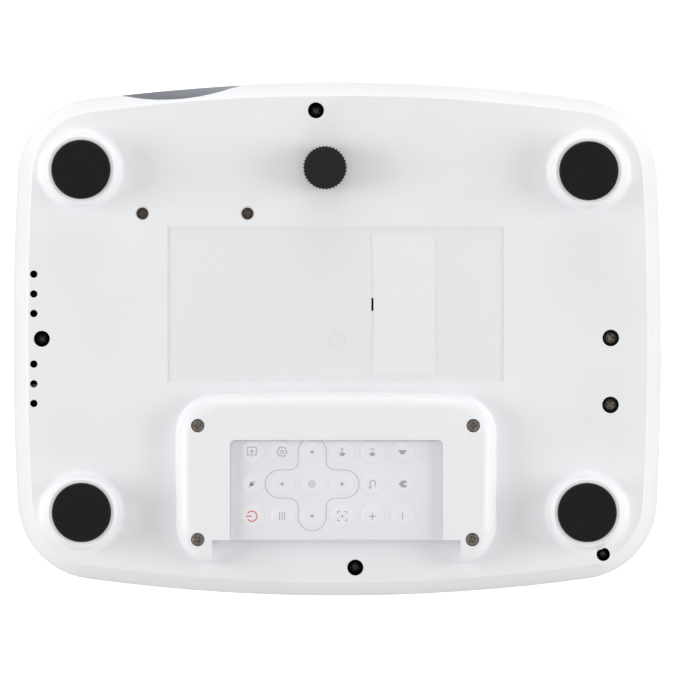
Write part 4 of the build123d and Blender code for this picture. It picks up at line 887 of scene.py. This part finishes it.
def plate(name, x, y, z, corner, ease):
    """A thin plate in millimetres with an eased lower rim."""
    work = bmesh.new()
    rings = []
    for inset, height in ((ease, z[0]), (ease * 0.3, z[0] + ease * 0.3), (0.0, z[0] + ease), (0.0, z[1])):
        across, along = (x[0] + inset, x[1] - inset), (y[0] + inset, y[1] - inset)
        outline = rounded_rectangle(across, along, corner - inset)
        rings.append([work.verts.new((px * MM, py * MM, height * MM)) for px, py in outline])
    for first, second in zip(rings, rings[1:]):
        for n in range(len(first)):
            m = (n + 1) % len(first)
            work.faces.new((first[n], first[m], second[m], second[n]))
    work.faces.new(rings[0])
    work.faces.new(rings[-1])
    bmesh.ops.recalc_face_normals(work, faces=work.faces)
    mesh = mesh_of(name, work)
    smooth(mesh, 50.0)
    return mesh


def bubble_mesh(height):
    """One soft round key: flat in the middle, easing down to the film without an edge."""
    flat, foot = 2.8 * MM, 4.3 * MM
    outline = [(0.0, -height), (flat * 0.6, -height), (flat, -height)]
    for n in range(1, 10):
        share = n / 10
        ease = share * share * (3 - 2 * share)
        outline.append((flat + (foot - flat) * share, -height * (1 - ease)))
    outline += [(foot, 0.0), (foot, 0.05 * MM)]
    mesh = mesh_of("key_bubble", lathe(outline, 48, closed=False))
    smooth(mesh, 60.0)
    return mesh


def key_place(column, row):
    """A key's centre in millimetres; columns run from 0 to 5 and rows from 0 to 2."""
    return KEY_FIRST_X + column * KEY_PITCH, KEY_ROWS[row]


def key_signs():
    """The grey signs by key, drawn about each key's own centre as they are seen from below."""
    w = 0.28
    signs = {}
    frame_box = [(-1.5, -1.6), (1.5, -1.6), (1.5, 1.1), (0.5, 1.1)]
    signs[(0, 0)] = line(frame_box, w) + line([(-0.5, 1.1), (-1.5, 1.1), (-1.5, -1.6)], w)
    signs[(0, 0)] += line([(0.0, 1.7), (0.0, -0.5)], w) + line([(-0.6, 0.1), (0.0, -0.6), (0.6, 0.1)], w)
    cog = []
    for n in range(24):
        turn = 2 * pi * n / 24
        reach = 1.75 if (n // 2) % 2 == 0 else 1.4
        cog.append((reach * cos(turn), reach * sin(turn)))
    signs[(1, 0)] = line(cog, w, closed=True) + line(arc((0, 0), 0.55, 0, 330, 11), w, closed=True)
    signs[(2, 0)] = moved(triangle(0.85), 0, 0, -90)
    signs[(2, 2)] = moved(triangle(0.85), 0, 0, 90)
    signs[(1, 1)] = moved(triangle(0.85), 0, 0, 180)
    signs[(3, 1)] = moved(triangle(0.85), 0, 0, 0)
    slash = line([(-1.1, 1.1), (1.1, -1.1)], w)
    horn = [[(-1.0, 0.1), (-0.2, 0.9), (0.9, 0.3), (-0.3, -1.0)]]
    signs[(0, 1)] = horn + slash
    signs[(1, 2)] = [f for dx in (-0.9, 0.0, 0.9) for f in line([(dx, -1.4), (dx, 1.4)], w)]
    signs[(2, 1)] = line(arc((0, 0), 1.05, 0, 345, 23), w, closed=True) + [arc((0, 0), 0.38, 0, 345, 11)]
    cone = [[(-1.2, 0.5), (1.2, 0.5), (0.45, 1.5), (-0.45, 1.5)]]
    stem = [[(-0.4, 0.5), (0.4, 0.5), (0.4, 0.0), (-0.4, 0.0)]]
    signs[(3, 0)] = cone + stem + line([(-0.4, -0.9), (0.4, -0.9)], w)
    signs[(3, 0)] += line([(0.0, -1.3), (0.0, -0.5)], w)
    signs[(4, 0)] = cone + stem + line(arc((0, 0.2), 1.2, -125, -55, 6), w)
    signs[(5, 0)] = [[(-1.5, -0.6), (1.5, -0.6), (0.5, 0.9), (-0.5, 0.9)]]
    hook = [(-0.8, 1.2), (-0.8, -0.4)] + arc((0.1, -0.4), 0.9, 180, 360, 10) + [(1.0, 1.0)]
    signs[(4, 1)] = line(hook, w) + moved(triangle(0.55), -0.8, 1.3, 90)
    signs[(5, 1)] = [[(-1.4, 0.0), (-0.2, -1.2), (1.4, -1.2), (1.4, -0.35), (0.6, -0.35), (0.6, 0.35),
                      (1.4, 0.35), (1.4, 1.2), (-0.2, 1.2)]]
    corner = line([(-1.6, -0.8), (-1.6, -1.6), (-0.8, -1.6)], w)
    signs[(3, 2)] = [f for turn in (0, 90, 180, 270) for f in moved(corner, 0, 0, turn)]
    signs[(3, 2)] += line([(-0.4, 0.0), (0.4, 0.0)], w) + line([(0.0, -0.4), (0.0, 0.4)], w)
    signs[(4, 2)] = line([(-1.2, 0.0), (1.2, 0.0)], w) + line([(0.0, -1.2), (0.0, 1.2)], w)
    signs[(5, 2)] = line([(0.0, -1.2), (0.0, 1.2)], w)
    return signs


def cross_outline():
    """The thin line round the five middle keys: a cross with round ends and soft inner corners."""
    centre = (-8.8, 50.6)
    half, reach, inner = 4.9, 11.4, 3.0
    points = []
    for quarter in range(4):
        turn = 90 * quarter
        part = arc((reach, 0.0), half, -90, 90, 14)
        soft = arc((half + inner, half + inner), inner, 270, 180, 8)
        for x, y in part + soft:
            c, s = cos(radians(turn)), sin(radians(turn))
            points.append((centre[0] + x * c - y * s, centre[1] + x * s + y * c))
    return line(points, 0.2, closed=True)


class PROJECTOR_OT_remote(bpy.types.Operator):
    """The remote: case, key film with its bubbles, and the printed signs"""

    bl_idname = "projector.remote"
    bl_label = "Remote"

    def execute(self, context):
        looks = context.scene.projector_looks
        weld("remote_case")
        dress("remote_battery_holder")
        low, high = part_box("remote_keypad")
        face = low.z + looks.bubble
        x = (low.x / MM, high.x / MM)
        y = (low.y / MM, high.y / MM)
        sheet = plate("key_film", x, y, (face / MM, high.z / MM), 2.6, 0.12)
        film = seat("remote_key_film", sheet, "remote_film", "remote", ("remote_keypad",))
        centres = [(*key_place(column, row), face / MM) for column in range(6) for row in range(3)]
        bubbles = scatter("remote_key_bubbles", bubble_mesh(looks.bubble), centres, "remote_film", "remote")
        joined("remote_key_film", [film, bubbles])
        top = (face - looks.bubble) / MM - 0.004
        grey = []
        for (column, row), shapes in key_signs().items():
            grey += moved(shapes, *key_place(column, row))
        printed("remote_signs", grey, top, "ink_grey", "remote")
        printed("remote_cross_line", cross_outline(), face / MM - 0.004, "ink_grey", "remote")
        ring = line(arc((0.0, 0.0), 1.75, -145, 145, 28), 0.36) + line([(-2.2, 0.0), (-0.1, 0.0)], 0.36)
        printed("remote_power_sign", moved(ring, *key_place(0, 2)), top, "ink_red", "remote")
        return {"FINISHED"}


# ---------------------------------------------------------------- lens, roof keys, rear, drive, inner pieces
class PROJECTOR_OT_lens(bpy.types.Operator):
    """Lens barrel, ribbed focus ring and coated glass"""

    bl_idname = "projector.lens"
    bl_label = "Lens"

    def execute(self, context):
        for node in ("focus_ring", "lens_tube", "lens_cell", "lens_elements"):
            weld(node, angle=26.0)
        return {"FINISHED"}


class PROJECTOR_OT_roof_keys(bpy.types.Operator):
    """The keys of the roof with their printed signs"""

    bl_idname = "projector.roof_keys"
    bl_label = "Roof keys"

    def execute(self, context):
        for node, body in BODY_OF.items():
            if body.endswith("_key"):
                weld(node)
        w = 0.5
        arrow = triangle(1.4)
        signs = {
            "right_button": moved(arrow, 0, 0, 0), "up_button": moved(arrow, 0, 0, 90),
            "left_button": moved(arrow, 0, 0, 180), "down_button": moved(arrow, 0, 0, 270),
            "ok_button": line(arc((0, 0), 2.2, 0, 350, 35), w, closed=True),
            "power_button": line(arc((0, 0), 2.2, 125, 415, 28), w) + line([(0, 0.6), (0, 2.8)], w),
            "source_button": line([(0.8, 2.0), (-2.4, 2.0), (-2.4, -2.0), (0.8, -2.0)], w)
            + line([(-0.6, 0), (2.4, 0)], w) + line([(1.4, 1.0), (2.4, 0), (1.4, -1.0)], w),
        }
        for node, shapes in signs.items():
            low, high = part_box(node)
            middle = (low + high) / (2 * MM)
            shapes = moved(shapes, middle.x, middle.y)
            printed(node + "_sign", shapes, high.z / MM, "ink_grey", BODY_OF[node], up=True)
        return {"FINISHED"}


class PROJECTOR_OT_rear(bpy.types.Operator):
    """The mains inlet and the sockets"""

    bl_idname = "projector.rear"
    bl_label = "Rear sockets"

    def execute(self, context):
        weld("ac_inlet")
        dress("rear_sockets")
        return {"FINISHED"}


DRIVE = ("disc_tray", "spindle_hub", "spindle_motor", "pickup_sled", "pickup_lens", "sled_guide_rods",
         "sled_lead_screw", "sled_motor", "tray_rail_front", "tray_rail_rear", "drive_chassis",
         "drive_bracket")


class PROJECTOR_OT_drive(bpy.types.Operator):
    """The disc tray and what it carries"""

    bl_idname = "projector.drive"
    bl_label = "Disc drive"

    def execute(self, context):
        for node in DRIVE:
            weld(node)
        return {"FINISHED"}


class PROJECTOR_OT_inner(bpy.types.Operator):
    """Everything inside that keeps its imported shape"""

    bl_idname = "projector.inner"
    bl_label = "Inner pieces"

    def execute(self, context):
        for node, piece in NODES.items():
            if not piece.hide_render and node != "remote_battery_holder" and node != "rear_sockets":
                dress(node)
        return {"FINISHED"}


class PROJECTOR_OT_stage(bpy.types.Operator):
    """Pale sheets, soft lamps, surround and the camera below the object"""

    bl_idname = "projector.stage"
    bl_label = "Stage"

    def execute(self, context):
        stage = context.scene.projector_stage
        low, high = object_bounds()
        reach = 3.0
        clear = 0.5 * MM
        for name, z, down in (("floor_sheet", low.z, False), ("backing_sheet", high.z + clear, True)):
            work = bmesh.new()
            corners = [(-reach, -reach), (reach, -reach), (reach, reach), (-reach, reach)]
            if down:
                corners.reverse()
            work.faces.new([work.verts.new((x, y, z)) for x, y in corners])
            sheet = bpy.data.objects.new(name, mesh_of(name, work))
            context.scene.collection.objects.link(sheet)
            glow = stage.backing_glow if down else stage.floor_glow
            sheet.data.materials.append(matte_stage(name + "_paper", srgb("#FFFFFF"), glow))
            sheet.visible_diffuse = sheet.visible_glossy = sheet.visible_transmission = False
            sheet.visible_shadow = False
            sheet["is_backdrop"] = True
        aim = Vector((0.0, 0.0, 0.05))
        lamps = [("soft_left", (-1.25, -0.06, -0.48), 0.8, 1.0),
                 ("soft_right", (1.25, -0.06, -0.48), 0.8, 0.97),
                 ("soft_front", (0.0, -1.5, -0.08), 1.2, 1.15),
                 ("soft_rear", (0.0, 1.4, -0.25), 0.9, 0.42),
                 ("roof", (0.20, -0.25, 1.6), 0.9, 1.1)]
        for name, place, size, share in lamps:
            data = bpy.data.lights.new(name, "AREA")
            data.shape = "DISK"
            data.size = size
            data.energy = stage.key_power * share
            lamp = bpy.data.objects.new(name, data)
            lamp.location = place
            lamp.rotation_mode = "QUATERNION"
            lamp.rotation_quaternion = (aim - Vector(place)).to_track_quat("-Z", "Y")
            context.scene.collection.objects.link(lamp)
        world = bpy.data.worlds.new("white_surround")
        world.use_nodes = True
        world.node_tree.nodes["Background"].inputs["Color"].default_value = srgb("#FFFFFF")
        world.node_tree.nodes["Background"].inputs["Strength"].default_value = stage.sky
        context.scene.world = world
        context.scene.view_settings.view_transform = "Standard"
        middle_px = (337.5, 338.5)
        half_frame = 340.0
        x = (half_frame - middle_px[0]) * stage.pixel
        y = (half_frame - middle_px[1]) * stage.pixel
        data = bpy.data.cameras.new("camera")
        data.sensor_width = 36.0
        data.lens = data.sensor_width * stage.distance / (2 * half_frame * stage.pixel)
        data.clip_start, data.clip_end = 0.05, 20.0
        camera = bpy.data.objects.new("camera", data)
        camera.location = (x, y, FLOOR_Z * MM - stage.distance)
        camera.rotation_euler = (pi, 0.0, 0.0)
        context.scene.collection.objects.link(camera)
        context.scene.camera = camera
        return {"FINISHED"}


OPERATORS = (PROJECTOR_OT_housing, PROJECTOR_OT_feet, PROJECTOR_OT_screws, PROJECTOR_OT_inserts,
             PROJECTOR_OT_adjuster, PROJECTOR_OT_label, PROJECTOR_OT_remote, PROJECTOR_OT_lens,
             PROJECTOR_OT_roof_keys, PROJECTOR_OT_rear, PROJECTOR_OT_drive, PROJECTOR_OT_inner,
             PROJECTOR_OT_stage)


class PROJECTOR_PT_build(bpy.types.Panel):
    """The builders in the order that they run"""

    bl_label = "Projector"
    bl_idname = "PROJECTOR_PT_build"
    bl_space_type = "VIEW_3D"
    bl_region_type = "UI"
    bl_category = "Projector"

    def draw(self, context):
        for group in (context.scene.projector_looks, context.scene.projector_stage):
            for name in group.__annotations__:
                self.layout.prop(group, name)
        for operator in OPERATORS:
            self.layout.operator(operator.bl_idname)


CLASSES = (ProjectorLooks, ProjectorStage, *OPERATORS, PROJECTOR_PT_build)


def register():
    for cls in CLASSES:
        bpy.utils.register_class(cls)
    bpy.types.Scene.projector_looks = PointerProperty(type=ProjectorLooks)
    bpy.types.Scene.projector_stage = PointerProperty(type=ProjectorStage)


def unregister():
    del bpy.types.Scene.projector_looks
    del bpy.types.Scene.projector_stage
    for cls in reversed(CLASSES):
        bpy.utils.unregister_class(cls)


def main():
    """Builds every piece and the stage."""
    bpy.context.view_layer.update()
    register()
    FINISHES.update(materials(bpy.context.scene.projector_looks))
    for operator in OPERATORS:
        group, name = operator.bl_idname.split(".")
        getattr(getattr(bpy.ops, group), name)()


if __name__ == "__main__":
    main()
